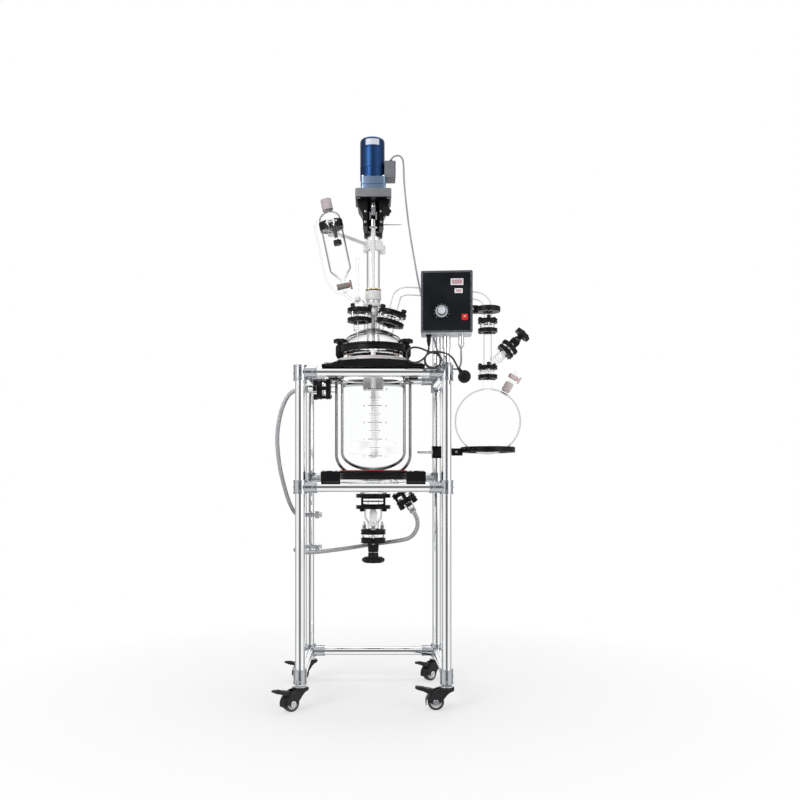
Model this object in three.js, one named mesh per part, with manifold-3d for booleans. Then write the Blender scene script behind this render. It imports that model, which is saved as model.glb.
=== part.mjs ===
// Jacketed glass stirred reactor on a castored tubular stand, in millimetres, +Z up.
// X runs to the right, Y to the back, and Z is 0 where the castors meet the floor.
import * as THREE from "three";
import { mergeVertices } from "three/addons/utils/BufferGeometryUtils.js";
import Module from "manifold-3d";

const wasm = await Module();
wasm.setup();

// ---------------------------------------------------------------- driving dimensions
const CLEAR = 0.3; // gap kept between pieces that touch or run on each other

// stand
const STAND_WIDTH = 465; // post centre to post centre, X
const STAND_DEPTH = 420; // post centre to post centre, Y
const TUBE_R = 16;
const TUBE_WALL = 2;
const SOCKET_CLEAR = 0.6; // round a rail in its socket
const SLEEVE_R = 22; // corner fitting round a post
const SOCKET_R = 20; // corner fitting round a rail
const SOCKET_REACH = 55; // from the post's axis to the socket's mouth
const RAIL_INSET = 20; // from the post's axis to the rail's end
const POST_FOOT_Z = 83;
const LOW_RAIL_Z = 104;
const FRONT_MID_Z = 707;
const REAR_MID_Z = 735;
const FRONT_TOP_Z = 1072;
const REAR_TOP_Z = 1097;
const SLEEVE_REACH = 22; // sleeve past a rail's axis, up and down
const TALL_POST_TOP_Z = 1386; // rear right post, which also carries the receiver's arms

// castors
const WHEEL_R = 26;
const WHEEL_WIDTH = 21;
const CASTOR_TRAIL = 34;
const CASTOR_PLATE_Z = 78; // top of the castor's bearing
const STEM_LENGTH = 34; // of the castor's plug, inside its post
const STEM_R = 13.2;
const STEM_BORE_R = 14.2;
const CASTOR_YAW = { front_left: 38, front_right: 0, rear_left: 32, rear_right: 40 };

// vessel
const BORE_R = 106;
const GLASS_WALL = 5;
const JACKET_R = 131;
const JACKET_TOP_Z = 1080;
const BOWL_Z = 824; // where the inner wall turns into the bowl
const BOWL_DEPTH = 58;
const JACKET_BOWL_Z = 815;
const JACKET_BOWL_DEPTH = 88;
const NECK_R = 92;
const NECK_Z = 1106;
const RIM_R = 104;
const RIM_Z = 1143;
const FLANGE_THICK = 10;
const DRAIN_R = 24;
const DRAIN_BORE_R = 18;
const DRAIN_FLANGE_R = 46;
const DRAIN_FLANGE_THICK = 8.2;
const DRAIN_Z = 657;

// lid
const LID_R = 94;
const LID_SHOULDER_Z = 1206;
const LID_CROWN_Z = 1248;
const CENTRE_NECK_R = 21;
const CENTRE_NECK_Z = 1320;
const LEFT_NECK = { x: -46, y: -50, z: 1283, r: 20, tilt: 0 };
const RIGHT_NECK = { x: 60, y: -34, z: 1276, r: 20, tilt: 15 };

// stirrer and drive
const SHAFT_R = 8;
const SHAFT_FOOT_Z = 806;
const SHAFT_TOP_Z = 1594;
const PADDLE_LOW_Z = 822;
const PADDLE_HIGH_Z = 862;
const PADDLE_LOW_WIDTH = 166;
const PADDLE_HIGH_WIDTH = 152;
const PADDLE_THICK = 7;
const MOTOR_PLATE_Z = 1682;
const MOTOR_PLATE_THICK = 28;
const MOTOR_PLATE_SIZE = 122;
const GEARBOX_SIZE = 85;
const GEARBOX_HEIGHT = 46;
const MOTOR_R = 42;
const MOTOR_HEIGHT = 137;
const GEAR_OFFSET = 6; // motor axis left of the output shaft
const COLUMN_R = 25;
const COLUMN_TOP_Z = 1700;

// control box
const BOX = { width: 162, height: 194, depth: 92, z: 1190, yaw: -4 };
const BOX_POLE_R = 10;

// receiver side
const RECEIVER_X = 416;
const RECEIVER_Y = 178;
const FLASK_R = 120;
const FLASK_Z = 943;
const FLASK_NECK_R = 18;
const PIPE_R = 15;
const PIPE_WALL = 2.5;

// addition funnel
const FUNNEL_R = 37;
const FUNNEL_LENGTH = 218;
const FUNNEL_TILT = 12; // degrees from upright, leaning to the left
const FUNNEL_BASE = { x: -106, y: -40, z: 1418 };

// cords
const HOSE_R = 7;
const LEAD_R = 3;

// ---------------------------------------------------------------- materials
const steel = new THREE.MeshStandardMaterial({ color: 0xd9dcde, roughness: 0.18, metalness: 1 });
const black = new THREE.MeshStandardMaterial({ color: 0x0d0d0f, roughness: 0.45, metalness: 0.1 });
const glass = new THREE.MeshStandardMaterial({
  color: 0xe9f2f4,
  roughness: 0.03,
  metalness: 0,
  transparent: true,
  opacity: 0.35,
});
const ptfe = new THREE.MeshStandardMaterial({ color: 0xf3f3f0, roughness: 0.5, metalness: 0 });
const blue = new THREE.MeshStandardMaterial({ color: 0x2c4a7c, roughness: 0.4, metalness: 0.2 });
const red = new THREE.MeshStandardMaterial({ color: 0xc9261d, roughness: 0.5, metalness: 0 });
const tyre = new THREE.MeshStandardMaterial({ color: 0x1b1b1d, roughness: 0.7, metalness: 0 });
const braid = new THREE.MeshStandardMaterial({ color: 0x9a9da0, roughness: 0.35, metalness: 0.9 });
const grey = new THREE.MeshStandardMaterial({ color: 0x55585c, roughness: 0.6, metalness: 0 });

// ---------------------------------------------------------------- shape helpers
const rad = THREE.MathUtils.degToRad;
const root = new THREE.Group();

// A closed mesh as a manifold-3d solid, without the flat triangles that a pole leaves.
function solid(geometry) {
  const bare = geometry.index ? geometry.toNonIndexed() : geometry.clone();
  bare.deleteAttribute("normal");
  bare.deleteAttribute("uv");
  const merged = mergeVertices(bare, 1e-4);
  const index = merged.index.array;
  const kept = [];
  for (let i = 0; i < index.length; i += 3) {
    const [a, b, c] = [index[i], index[i + 1], index[i + 2]];
    if (a !== b && b !== c && c !== a) kept.push(a, b, c);
  }
  const vertProperties = merged.attributes.position.array;
  return new wasm.Manifold(
    new wasm.Mesh({ numProp: 3, vertProperties, triVerts: new Uint32Array(kept) }),
  );
}

function shaped(body) {
  const mesh = body.getMesh();
  const geometry = new THREE.BufferGeometry();
  geometry.setAttribute("position", new THREE.BufferAttribute(mesh.vertProperties, 3));
  geometry.setIndex(new THREE.BufferAttribute(mesh.triVerts, 1));
  const flat = geometry.toNonIndexed();
  flat.computeVertexNormals();
  return flat;
}

const join = (...parts) => shaped(parts.map(solid).reduce((a, b) => a.add(b)));
const cut = (base, ...tools) => shaped(tools.map(solid).reduce((a, b) => a.subtract(b), solid(base)));

// Turned about +Z from a closed list of [radius, z], in either order.
function turned(profile, sides = 16) {
  let area = 0;
  profile.forEach(([r, z], i) => {
    const [r2, z2] = profile[(i + 1) % profile.length];
    area += r * z2 - r2 * z;
  });
  const points = (area > 0 ? profile : [...profile].reverse()).map(([r, z]) => new THREE.Vector2(r, z));
  const start = points.findIndex((p, i) => p.x === 0 && points[(i + points.length - 1) % points.length].x === 0);
  const ordered = start < 0 ? [...points, points[0]] : [...points.slice(start), ...points.slice(0, start)];
  return new THREE.LatheGeometry(ordered, sides).rotateX(Math.PI / 2);
}

// Vertex radius of a faceted hole in which a round pin of radius r turns freely.
const holeRadius = (r, sides = 8) => (r + CLEAR) / Math.cos(Math.PI / sides);
const rod = (r, z0, z1, sides = 12) =>
  turned([[0, z0], [r, z0], [r, z1], [0, z1]], sides);
const pipe = (r, bore, z0, z1, sides = 12) =>
  turned([[bore, z0], [r, z0], [r, z1], [bore, z1]], sides);
const block = (w, d, h) => new THREE.BoxGeometry(w, d, h);
const at = (geometry, x, y, z) => geometry.translate(x, y, z);

// Laid along X or Y instead of Z.
const alongX = (geometry) => geometry.rotateY(Math.PI / 2);
const alongY = (geometry) => geometry.rotateX(-Math.PI / 2);

// Points of an ellipse's arc in the [radius, z] plane, from angle a0 to a1 in degrees.
function arc(cr, cz, rr, rz, a0, a1, steps) {
  return Array.from({ length: steps + 1 }, (_, i) => {
    const a = rad(a0 + ((a1 - a0) * i) / steps);
    return [cr + rr * Math.cos(a), cz + rz * Math.sin(a)];
  });
}

function roundShape(r, sides) {
  const shape = new THREE.Shape();
  for (let i = 0; i < sides; i++) {
    const a = (2 * Math.PI * i) / sides;
    if (i) shape.lineTo(r * Math.cos(a), r * Math.sin(a));
    else shape.moveTo(r * Math.cos(a), r * Math.sin(a));
  }
  shape.closePath();
  return shape;
}

// A tube of radius r along the smooth curve through the points, with `each` steps from one point to
// the next, so a bend is as fine as its points are close.
function swept(points, r, each = 2, sides = 8) {
  const curve = new THREE.CatmullRomCurve3(points.map((p) => new THREE.Vector3(...p)), false, "centripetal");
  curve.getUtoTmapping = (u) => u;
  const steps = (points.length - 1) * each;
  return new THREE.ExtrudeGeometry(roundShape(r, sides), { extrudePath: curve, steps, bevelEnabled: false });
}

// A rounded star grip about +Z, from z0 to z1.
function starGrip(r, z0, z1, lobes = 4) {
  const shape = new THREE.Shape();
  const steps = lobes * 2;
  for (let i = 0; i < steps; i++) {
    const a = (2 * Math.PI * i) / steps;
    const reach = r * (i % 2 === 0 ? 0.78 : 1);
    if (i) shape.lineTo(reach * Math.cos(a), reach * Math.sin(a));
    else shape.moveTo(reach * Math.cos(a), reach * Math.sin(a));
  }
  shape.closePath();
  return new THREE.ExtrudeGeometry(shape, { depth: z1 - z0, bevelEnabled: false }).translate(0, 0, z0);
}

function piece(name, geometry, material, parent = root) {
  const mesh = new THREE.Mesh(geometry, material);
  mesh.name = name;
  parent.add(mesh);
  return mesh;
}

function placed(x, y, z, tiltY = 0, turnZ = 0, parent = root) {
  const group = new THREE.Group();
  group.position.set(x, y, z);
  group.rotation.set(0, rad(tiltY), rad(turnZ), "ZYX");
  parent.add(group);
  return group;
}

// Two rings on one axis, drawn together by bolts with star grips: it squeezes a glass joint whose
// middle is at z = 0. `low` and `high` are the rings' [near, far] distances from the middle.
function flangeClamp({ r, bore, low, high, bolts = 3, boltRing, boltR = 3, grip = 8, gripHeight = 12, turn = 30 }) {
  const parts = [pipe(r, bore, high[0], high[1]), pipe(r, bore, -low[1], -low[0])];
  for (let i = 0; i < bolts; i++) {
    const a = rad(turn + (360 * i) / bolts);
    const [x, y] = [boltRing * Math.cos(a), boltRing * Math.sin(a)];
    parts.push(at(rod(boltR, -low[0] - 1, high[0] + 1, 6), x, y, 0));
    parts.push(at(starGrip(grip, high[1] - 1, high[1] + gripHeight), x, y, 0));
  }
  return join(...parts);
}

// ---------------------------------------------------------------- stand
const HALF_W = STAND_WIDTH / 2;
const HALF_D = STAND_DEPTH / 2;
const FRONT_RAILS = [FRONT_MID_Z, FRONT_TOP_Z];
const REAR_RAILS = [LOW_RAIL_Z, REAR_MID_Z, REAR_TOP_Z];
const SIDE_RAILS = [LOW_RAIL_Z, FRONT_MID_Z, FRONT_TOP_Z];

// Both posts of one side with its three side rails and all their corner fittings.
// `side` is -1 for the left and 1 for the right.
function sideFrame(side, rearTop) {
  const x = side * HALF_W;
  const solids = [];
  const hollows = [];
  const frontTop = FRONT_TOP_Z + SLEEVE_REACH;
  for (const [y, top] of [[-HALF_D, frontTop], [HALF_D, rearTop]]) {
    solids.push(at(rod(TUBE_R, POST_FOOT_Z, top, 10), x, y, 0));
    hollows.push(at(rod(STEM_BORE_R, POST_FOOT_Z - 1, POST_FOOT_Z + STEM_LENGTH + 2, 10), x, y, 0));
  }
  const sleeve = (y, z0, z1) => solids.push(at(rod(SLEEVE_R, z0, z1, 10), x, y, 0));
  sleeve(-HALF_D, POST_FOOT_Z, LOW_RAIL_Z + SLEEVE_REACH + 4);
  sleeve(HALF_D, POST_FOOT_Z, LOW_RAIL_Z + SLEEVE_REACH + 4);
  sleeve(-HALF_D, FRONT_MID_Z - SLEEVE_REACH, FRONT_MID_Z + SLEEVE_REACH);
  sleeve(-HALF_D, FRONT_TOP_Z - SLEEVE_REACH - 6, frontTop - CLEAR);
  sleeve(HALF_D, FRONT_MID_Z - SLEEVE_REACH, REAR_MID_Z + SLEEVE_REACH);
  sleeve(HALF_D, FRONT_TOP_Z - SLEEVE_REACH, REAR_TOP_Z + SLEEVE_REACH);

  for (const z of SIDE_RAILS) solids.push(at(alongY(rod(TUBE_R, -HALF_D, HALF_D, 10)), x, 0, z));
  const socket = (y, z) => {
    const mouth = -side * SOCKET_REACH;
    const seat = -side * (RAIL_INSET - 1);
    solids.push(at(alongX(rod(SOCKET_R, Math.min(0, mouth), Math.max(0, mouth), 8)), x, y, z));
    const bore = [Math.min(seat, mouth - side), Math.max(seat, mouth - side)];
    hollows.push(at(alongX(rod(TUBE_R + SOCKET_CLEAR, ...bore, 10)), x, y, z));
  };
  for (const z of FRONT_RAILS) socket(-HALF_D, z);
  for (const z of REAR_RAILS) socket(HALF_D, z);
  return cut(join(...solids), ...hollows);
}

function crossRail() {
  const half = HALF_W - RAIL_INSET;
  return alongX(pipe(TUBE_R, TUBE_R - TUBE_WALL, -half, half, 10));
}

function stand() {
  piece("left_side_frame", sideFrame(-1, REAR_TOP_Z + SLEEVE_REACH + CLEAR), steel);
  piece("right_side_frame", sideFrame(1, TALL_POST_TOP_Z), steel);
  const rails = {
    front_top_rail: [-HALF_D, FRONT_TOP_Z],
    front_mid_rail: [-HALF_D, FRONT_MID_Z],
    rear_top_rail: [HALF_D, REAR_TOP_Z],
    rear_mid_rail: [HALF_D, REAR_MID_Z],
    rear_low_rail: [HALF_D, LOW_RAIL_Z],
  };
  for (const [name, [y, z]] of Object.entries(rails))
    piece(name, crossRail(), steel).position.set(0, y, z);
}

// ---------------------------------------------------------------- castors
const AXLE_R = 4;
const FORK_GAP = WHEEL_WIDTH / 2 + 1.2;
const CHEEK = 4;

// Twin-cheeked housing, bearing, expanding stem and brake pedal, with the swivel axis on the origin
// and the wheel trailing towards -X.
function castorFork() {
  const cheek = new THREE.Shape();
  cheek.moveTo(24, 70);
  cheek.lineTo(-CASTOR_TRAIL - 10, 62);
  cheek.lineTo(-CASTOR_TRAIL - 26, 44);
  cheek.lineTo(-CASTOR_TRAIL - 20, 26);
  cheek.lineTo(-CASTOR_TRAIL - 7, WHEEL_R - 8);
  cheek.lineTo(-CASTOR_TRAIL + 7, WHEEL_R - 8);
  cheek.lineTo(-CASTOR_TRAIL + 20, 30);
  cheek.lineTo(10, 56);
  cheek.closePath();
  const width = 2 * (FORK_GAP + CHEEK);
  const housing = new THREE.ExtrudeGeometry(cheek, { depth: width, bevelEnabled: false })
    .rotateX(Math.PI / 2)
    .translate(0, width / 2, 0);
  const wheelRoom = at(alongY(rod(WHEEL_R + 3.5, -FORK_GAP, FORK_GAP, 12)), -CASTOR_TRAIL, 0, WHEEL_R);
  const pedal = new THREE.Shape();
  pedal.moveTo(-CASTOR_TRAIL - 8, 66);
  pedal.lineTo(-CASTOR_TRAIL - 62, 74);
  pedal.lineTo(-CASTOR_TRAIL - 66, 68);
  pedal.lineTo(-CASTOR_TRAIL - 24, 52);
  pedal.lineTo(-CASTOR_TRAIL - 8, 56);
  pedal.closePath();
  const lever = new THREE.ExtrudeGeometry(pedal, { depth: 24, bevelEnabled: false })
    .rotateX(Math.PI / 2)
    .translate(0, 12, 0);
  const bearing = turned([
    [0, 64], [25, 64], [25, CASTOR_PLATE_Z - 3], [STEM_R, CASTOR_PLATE_Z], [STEM_R, POST_FOOT_Z + STEM_LENGTH],
    [0, POST_FOOT_Z + STEM_LENGTH],
  ], 10);
  const axleBore = at(alongY(rod(AXLE_R + CLEAR, -40, 40, 8)), -CASTOR_TRAIL, 0, WHEEL_R);
  return join(cut(housing, wheelRoom, axleBore), lever, bearing);
}

// Wheel and its axle, along Y. One flat of the tread is down, so the wheel stands on it.
const TREAD_SIDES = 14;
function castorWheel() {
  const half = WHEEL_WIDTH / 2;
  const r = WHEEL_R / Math.cos(Math.PI / TREAD_SIDES);
  const tread = [[0, -half], [r - 4, -half], [r, -half + 4], [r, half - 4], [r - 4, half], [0, half]];
  const axle = rod(AXLE_R - CLEAR, -FORK_GAP - CHEEK - 2, FORK_GAP + CHEEK + 2, 6);
  return alongY(join(turned(tread, TREAD_SIDES).rotateZ(Math.PI / TREAD_SIDES), axle));
}

function castors() {
  for (const [place, yaw] of Object.entries(CASTOR_YAW)) {
    const x = place.endsWith("left") ? -HALF_W : HALF_W;
    const y = place.startsWith("front") ? -HALF_D : HALF_D;
    const swivel = placed(x, y, 0, 0, yaw);
    piece(`castor_fork_${place}`, castorFork(), black, swivel);
    piece(`castor_wheel_${place}`, castorWheel(), tyre, swivel).position.set(-CASTOR_TRAIL, 0, WHEEL_R);
  }
}

// ---------------------------------------------------------------- supports under and round the vessel
const ARM_X = 148; // middle of the arms that cross the stand from front to back
const COLLAR_Z = REAR_TOP_Z + TUBE_R + CLEAR;
const COLLAR_TOP_Z = RIM_Z - FLANGE_THICK / 2 + 1; // seat of the rim's gasket
const GASKET_THICK = RIM_Z - COLLAR_TOP_Z - 2 * CLEAR;
const CLAMP_BOLT_RING = 111;

// Two arms over the front and rear rails, on feet at the front, where the rail lies lower.
function arms(width, z, thick, frontRailZ) {
  const parts = [];
  for (const side of [-1, 1]) {
    const x = side * ARM_X;
    parts.push(at(block(width, STAND_DEPTH + 28, thick), x, 0, z + thick / 2));
    const foot = frontRailZ + TUBE_R + CLEAR;
    parts.push(at(block(width, 34, z - foot + 1), x, -HALF_D, (z + 1 + foot) / 2));
  }
  return parts;
}

function collarPlate() {
  const ring = turned([
    [NECK_R + 4, COLLAR_Z], [150, COLLAR_Z], [150, COLLAR_Z + 12], [126, COLLAR_TOP_Z], [NECK_R + 4, COLLAR_TOP_Z],
  ], 20);
  const ears = at(block(2 * ARM_X + 20, 96, 8), 0, 0, COLLAR_Z + 6);
  const well = rod(NECK_R + 4, COLLAR_Z - 1, COLLAR_TOP_Z + 1, 20);
  return cut(join(ring, ears, ...arms(34, COLLAR_Z, 12, FRONT_TOP_Z)), well);
}

const LOWER_Z = REAR_MID_Z + TUBE_R + CLEAR;
const LOWER_THICK = 8;
const PAD_Z = LOWER_Z + LOWER_THICK + CLEAR;
const PAD_THICK = 3;
const PAD_GAP = 0.8; // between the bowl's glass and the pad's top edge
const bowlRadiusAt = (z) => JACKET_R * Math.sqrt(1 - ((JACKET_BOWL_Z - z) / JACKET_BOWL_DEPTH) ** 2);
const LOWER_BORE_R = bowlRadiusAt(PAD_Z + PAD_THICK) + PAD_GAP;

function lowerSupport() {
  const top = LOWER_Z + LOWER_THICK;
  const ring = turned([
    [LOWER_BORE_R, LOWER_Z - 20], [LOWER_BORE_R + 8, LOWER_Z - 20], [LOWER_BORE_R + 12, LOWER_Z - 2],
    [LOWER_BORE_R + 22, LOWER_Z], [LOWER_BORE_R + 22, top], [LOWER_BORE_R, top],
  ], 20);
  const well = rod(LOWER_BORE_R, LOWER_Z - 30, top + 4, 20);
  return cut(join(ring, ...arms(56, LOWER_Z, LOWER_THICK, FRONT_MID_Z)), well);
}

function supports() {
  piece("collar_plate", collarPlate(), black);
  piece("lower_support", lowerSupport(), black);
  piece("lower_pad", pipe(LOWER_BORE_R + 10, LOWER_BORE_R, PAD_Z, PAD_Z + PAD_THICK, 20), red);
  piece("rim_gasket", pipe(RIM_R, NECK_R + 4, COLLAR_TOP_Z + CLEAR, RIM_Z - CLEAR, 20), red);
}

// ---------------------------------------------------------------- vessel
const GLASS_SIDES = 16;
const INLET = { z: 1041, r: 11, bore: 8, out: 168 };
const OUTLET = { x: 78, z: 716, r: 11, bore: 8, length: 50, tilt: 148 };

function outletTube(r, from, to) {
  return rod(r, from, to, 8).rotateY(rad(OUTLET.tilt)).translate(OUTLET.x, 0, OUTLET.z);
}

// Inner vessel, jacket, drain and both jacket ports, blown as one piece of glass.
function vesselGlass() {
  const inner = BORE_R + GLASS_WALL;
  const jacketBore = JACKET_R - GLASS_WALL;
  const outside = [
    [0, DRAIN_Z], [DRAIN_FLANGE_R, DRAIN_Z], [DRAIN_FLANGE_R, DRAIN_Z + DRAIN_FLANGE_THICK],
    [DRAIN_R, DRAIN_Z + DRAIN_FLANGE_THICK], [DRAIN_R, JACKET_BOWL_Z - JACKET_BOWL_DEPTH + 6],
    ...arc(0, JACKET_BOWL_Z, JACKET_R, JACKET_BOWL_DEPTH, -76, 0, 4),
    ...arc(JACKET_R - 22, JACKET_TOP_Z - 18, 22, 18, 0, 90, 2),
    [inner, JACKET_TOP_Z], [inner, NECK_Z - 12],
    [NECK_R, NECK_Z + 3], [NECK_R, RIM_Z], [RIM_R, RIM_Z], [RIM_R, RIM_Z + FLANGE_THICK],
    [0, RIM_Z + FLANGE_THICK],
  ];
  const bore = [
    [0, DRAIN_Z - 1], [DRAIN_BORE_R, DRAIN_Z - 1], [DRAIN_BORE_R, BOWL_Z - BOWL_DEPTH + 1],
    ...arc(0, BOWL_Z, BORE_R, BOWL_DEPTH, -78, 0, 4),
    [BORE_R, NECK_Z - 16],
    [NECK_R - GLASS_WALL, NECK_Z - 3], [NECK_R - GLASS_WALL, RIM_Z + FLANGE_THICK + 1],
    [0, RIM_Z + FLANGE_THICK + 1],
  ];
  const space = [
    [DRAIN_R + 6, JACKET_BOWL_Z - JACKET_BOWL_DEPTH + 8],
    ...arc(0, JACKET_BOWL_Z, jacketBore, JACKET_BOWL_DEPTH - GLASS_WALL, -72, 0, 4),
    ...arc(jacketBore - 14, JACKET_TOP_Z - GLASS_WALL - 12, 14, 12, 0, 90, 1),
    [inner, JACKET_TOP_Z - GLASS_WALL],
    ...arc(0, BOWL_Z, inner, BOWL_DEPTH + GLASS_WALL, 0, -74, 4),
    [DRAIN_R + 6, BOWL_Z - BOWL_DEPTH - GLASS_WALL + 2],
  ];
  const inlet = at(alongX(rod(INLET.r, -INLET.out, 5 - JACKET_R, 8)), 0, 0, INLET.z);
  const inletLip = at(alongX(rod(24, -INLET.out, 7 - INLET.out, 12)), 0, 0, INLET.z);
  const inletBore = at(alongX(rod(INLET.bore, -INLET.out - 1, -inner - 4, 8)), 0, 0, INLET.z);
  const outletLip = outletTube(24, OUTLET.length - 7, OUTLET.length);
  const body = join(turned(outside, GLASS_SIDES), inlet, inletLip, outletTube(OUTLET.r, -30, OUTLET.length), outletLip);
  return cut(body, turned(bore, GLASS_SIDES), turned(space, GLASS_SIDES), inletBore, outletTube(OUTLET.bore, -38, OUTLET.length + 1));
}

// ---------------------------------------------------------------- lid and its necks
const LID_Z = RIM_Z + FLANGE_THICK + CLEAR;
const NECK_FLANGE = { r: 29, thick: 7 };

// A neck's frame: its joint face is on the origin and it rises along +Z.
function neckFrame({ x, y, z, tilt }, geometry) {
  return geometry.rotateY(rad(tilt)).translate(x, y, z);
}

function lidGlass() {
  const w = GLASS_WALL;
  const dome = (drop, r) => [
    ...arc(r - 24, LID_SHOULDER_Z - drop, 24, 18, 0, 62, 2),
    [CENTRE_NECK_R + 14 - drop, LID_CROWN_Z - 6 - drop],
  ];
  const outside = [
    [0, LID_Z], [RIM_R, LID_Z], [RIM_R, LID_Z + FLANGE_THICK], [LID_R, LID_Z + FLANGE_THICK],
    ...dome(0, LID_R), [CENTRE_NECK_R, LID_CROWN_Z + 4], [CENTRE_NECK_R, CENTRE_NECK_Z - 9],
    [CENTRE_NECK_R + 9, CENTRE_NECK_Z - 7], [CENTRE_NECK_R + 9, CENTRE_NECK_Z], [0, CENTRE_NECK_Z],
  ];
  const inside = [
    [0, LID_Z - 1], [NECK_R - w, LID_Z - 1], [NECK_R - w, LID_Z + FLANGE_THICK], [LID_R - w, LID_Z + FLANGE_THICK + 8],
    ...dome(w, LID_R - w), [CENTRE_NECK_R - 4, LID_CROWN_Z + 2], [CENTRE_NECK_R - 4, CENTRE_NECK_Z + 1],
    [0, CENTRE_NECK_Z + 1],
  ];
  const solids = [turned(outside, GLASS_SIDES)];
  const hollows = [turned(inside, GLASS_SIDES)];
  for (const neck of [LEFT_NECK, RIGHT_NECK]) {
    solids.push(neckFrame(neck, rod(neck.r, -56, 0, 10)));
    solids.push(neckFrame(neck, rod(NECK_FLANGE.r, -NECK_FLANGE.thick, 0, 12)));
    hollows.push(neckFrame(neck, rod(neck.r - 3.5, -77, 1, 8)));
  }
  return cut(join(...solids), ...hollows);
}

function lidClampBand() {
  const low = LID_Z + FLANGE_THICK + CLEAR;
  const high = low + 24;
  const band = turned([[LID_R + 1.5, low], [114, low], [114, high], [LID_R + 1.5, high]], 20);
  const parts = [band];
  const base = COLLAR_TOP_Z + CLEAR;
  for (let i = 0; i < 2; i++) {
    const x = (i ? -1 : 1) * (CLAMP_BOLT_RING + 2);
    parts.push(at(turned([[0, low - 20], [9, low - 20], [16, low - 8], [16, high - 4], [12, high], [0, high]], 10), x, 0, 0));
    parts.push(at(rod(4, base, low, 8), (i ? -1 : 1) * CLAMP_BOLT_RING, 0, 0));
    parts.push(at(rod(9, high - 1, high + 12, 8), x, 0, 0));
    parts.push(at(starGrip(23, high + 11, high + 25, 6), x, 0, 0));
  }
  const glassRoom = rod(LID_R + 1.5, low - 30, high + 1, 20);
  const flangeRoom = rod(RIM_R + 1.5, base - 1, low - CLEAR, GLASS_SIDES);
  return cut(join(...parts), glassRoom, flangeRoom);
}

const NECK_CLAMP = { bore: 21, low: [7.6, 24], high: [7.6, 27], boltRing: 35.5, boltR: 3 };

function lidParts() {
  piece("reactor_vessel", vesselGlass(), glass);
  piece("vessel_lid", lidGlass(), glass);
  piece("lid_clamp_band", lidClampBand(), black);
  const left = placed(LEFT_NECK.x, LEFT_NECK.y, LEFT_NECK.z, LEFT_NECK.tilt);
  piece("left_neck_clamp", flangeClamp({ ...NECK_CLAMP, r: 42, grip: 7, turn: -10 }), black, left);
  const right = placed(RIGHT_NECK.x, RIGHT_NECK.y, RIGHT_NECK.z, RIGHT_NECK.tilt);
  piece("right_neck_clamp", flangeClamp({ ...NECK_CLAMP, r: 44, boltRing: 37, grip: 9, turn: 90 }), black, right);
}

// ---------------------------------------------------------------- stirrer and drive
const SEAL_Z = CENTRE_NECK_Z + CLEAR;

// PTFE bearing housing with its knurled cap, on the centre neck.
function shaftSeal() {
  const body = turned([
    [SHAFT_R + CLEAR, SEAL_Z - 30], [CENTRE_NECK_R - 4 - CLEAR, SEAL_Z - 30], [CENTRE_NECK_R - 4 - CLEAR, SEAL_Z],
    [30, SEAL_Z], [30, SEAL_Z + 10], [22, SEAL_Z + 12], [22, SEAL_Z + 24],
    [27, SEAL_Z + 25], [27, SEAL_Z + 50], [SHAFT_R + CLEAR, SEAL_Z + 50],
  ], 12);
  const cap = starGrip(26, SEAL_Z + 49, SEAL_Z + 66, 8);
  return cut(join(body, cap), rod(SHAFT_R + 2 * CLEAR, SEAL_Z - 40, SEAL_Z + 80, 12));
}

// Shaft and flat paddle, one PTFE-coated piece that turns about the origin's Z.
function stirrer() {
  const blade = new THREE.Shape();
  blade.moveTo(-PADDLE_LOW_WIDTH / 2, PADDLE_LOW_Z);
  blade.lineTo(PADDLE_LOW_WIDTH / 2, PADDLE_LOW_Z);
  blade.lineTo(PADDLE_HIGH_WIDTH / 2, PADDLE_HIGH_Z - 8);
  blade.quadraticCurveTo(PADDLE_HIGH_WIDTH / 2 - 4, PADDLE_HIGH_Z, PADDLE_HIGH_WIDTH / 2 - 16, PADDLE_HIGH_Z);
  blade.lineTo(-PADDLE_HIGH_WIDTH / 2 + 16, PADDLE_HIGH_Z);
  blade.quadraticCurveTo(-PADDLE_HIGH_WIDTH / 2 + 4, PADDLE_HIGH_Z, -PADDLE_HIGH_WIDTH / 2, PADDLE_HIGH_Z - 8);
  blade.closePath();
  const flat = new THREE.ExtrudeGeometry(blade, { depth: PADDLE_THICK, bevelEnabled: false, curveSegments: 2 })
    .rotateX(Math.PI / 2)
    .translate(0, PADDLE_THICK / 2, 0);
  const hub = turned([[0, SHAFT_FOOT_Z], [12, SHAFT_FOOT_Z + 4], [12, PADDLE_HIGH_Z + 10], [0, PADDLE_HIGH_Z + 12]], 10);
  return join(flat, hub, rod(SHAFT_R, SHAFT_FOOT_Z + 4, SHAFT_TOP_Z, 12));
}

const COUPLING_TOP_Z = MOTOR_PLATE_Z - 4;

// Universal coupling: two yokes and the cross between them, gripping the shaft's top.
function driveCoupling() {
  const middle = (SHAFT_TOP_Z + COUPLING_TOP_Z) / 2 + 4;
  const lower = turned([
    [0, SHAFT_TOP_Z + CLEAR], [14, SHAFT_TOP_Z + CLEAR], [14, middle - 20], [0, middle - 20],
  ], 10);
  const upper = turned([[0, middle + 20], [14, middle + 20], [14, COUPLING_TOP_Z], [0, COUPLING_TOP_Z]], 10);
  const ear = (x, y, z) => at(block(x ? 5 : 14, y ? 5 : 14, 28), x, y, z);
  const cross = at(block(26, 8, 8), 0, 0, middle);
  const crossed = at(block(8, 26, 8), 0, 0, middle);
  const hub = at(block(13, 13, 13), 0, 0, middle);
  return join(
    lower, upper, cross, crossed, hub,
    ear(10.5, 0, middle - 8), ear(-10.5, 0, middle - 8), ear(0, 10.5, middle + 8), ear(0, -10.5, middle + 8),
  );
}

const BRACKET_FOOT_Z = 1590;
const COLLAR_LOW_Z = 1620;

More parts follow.
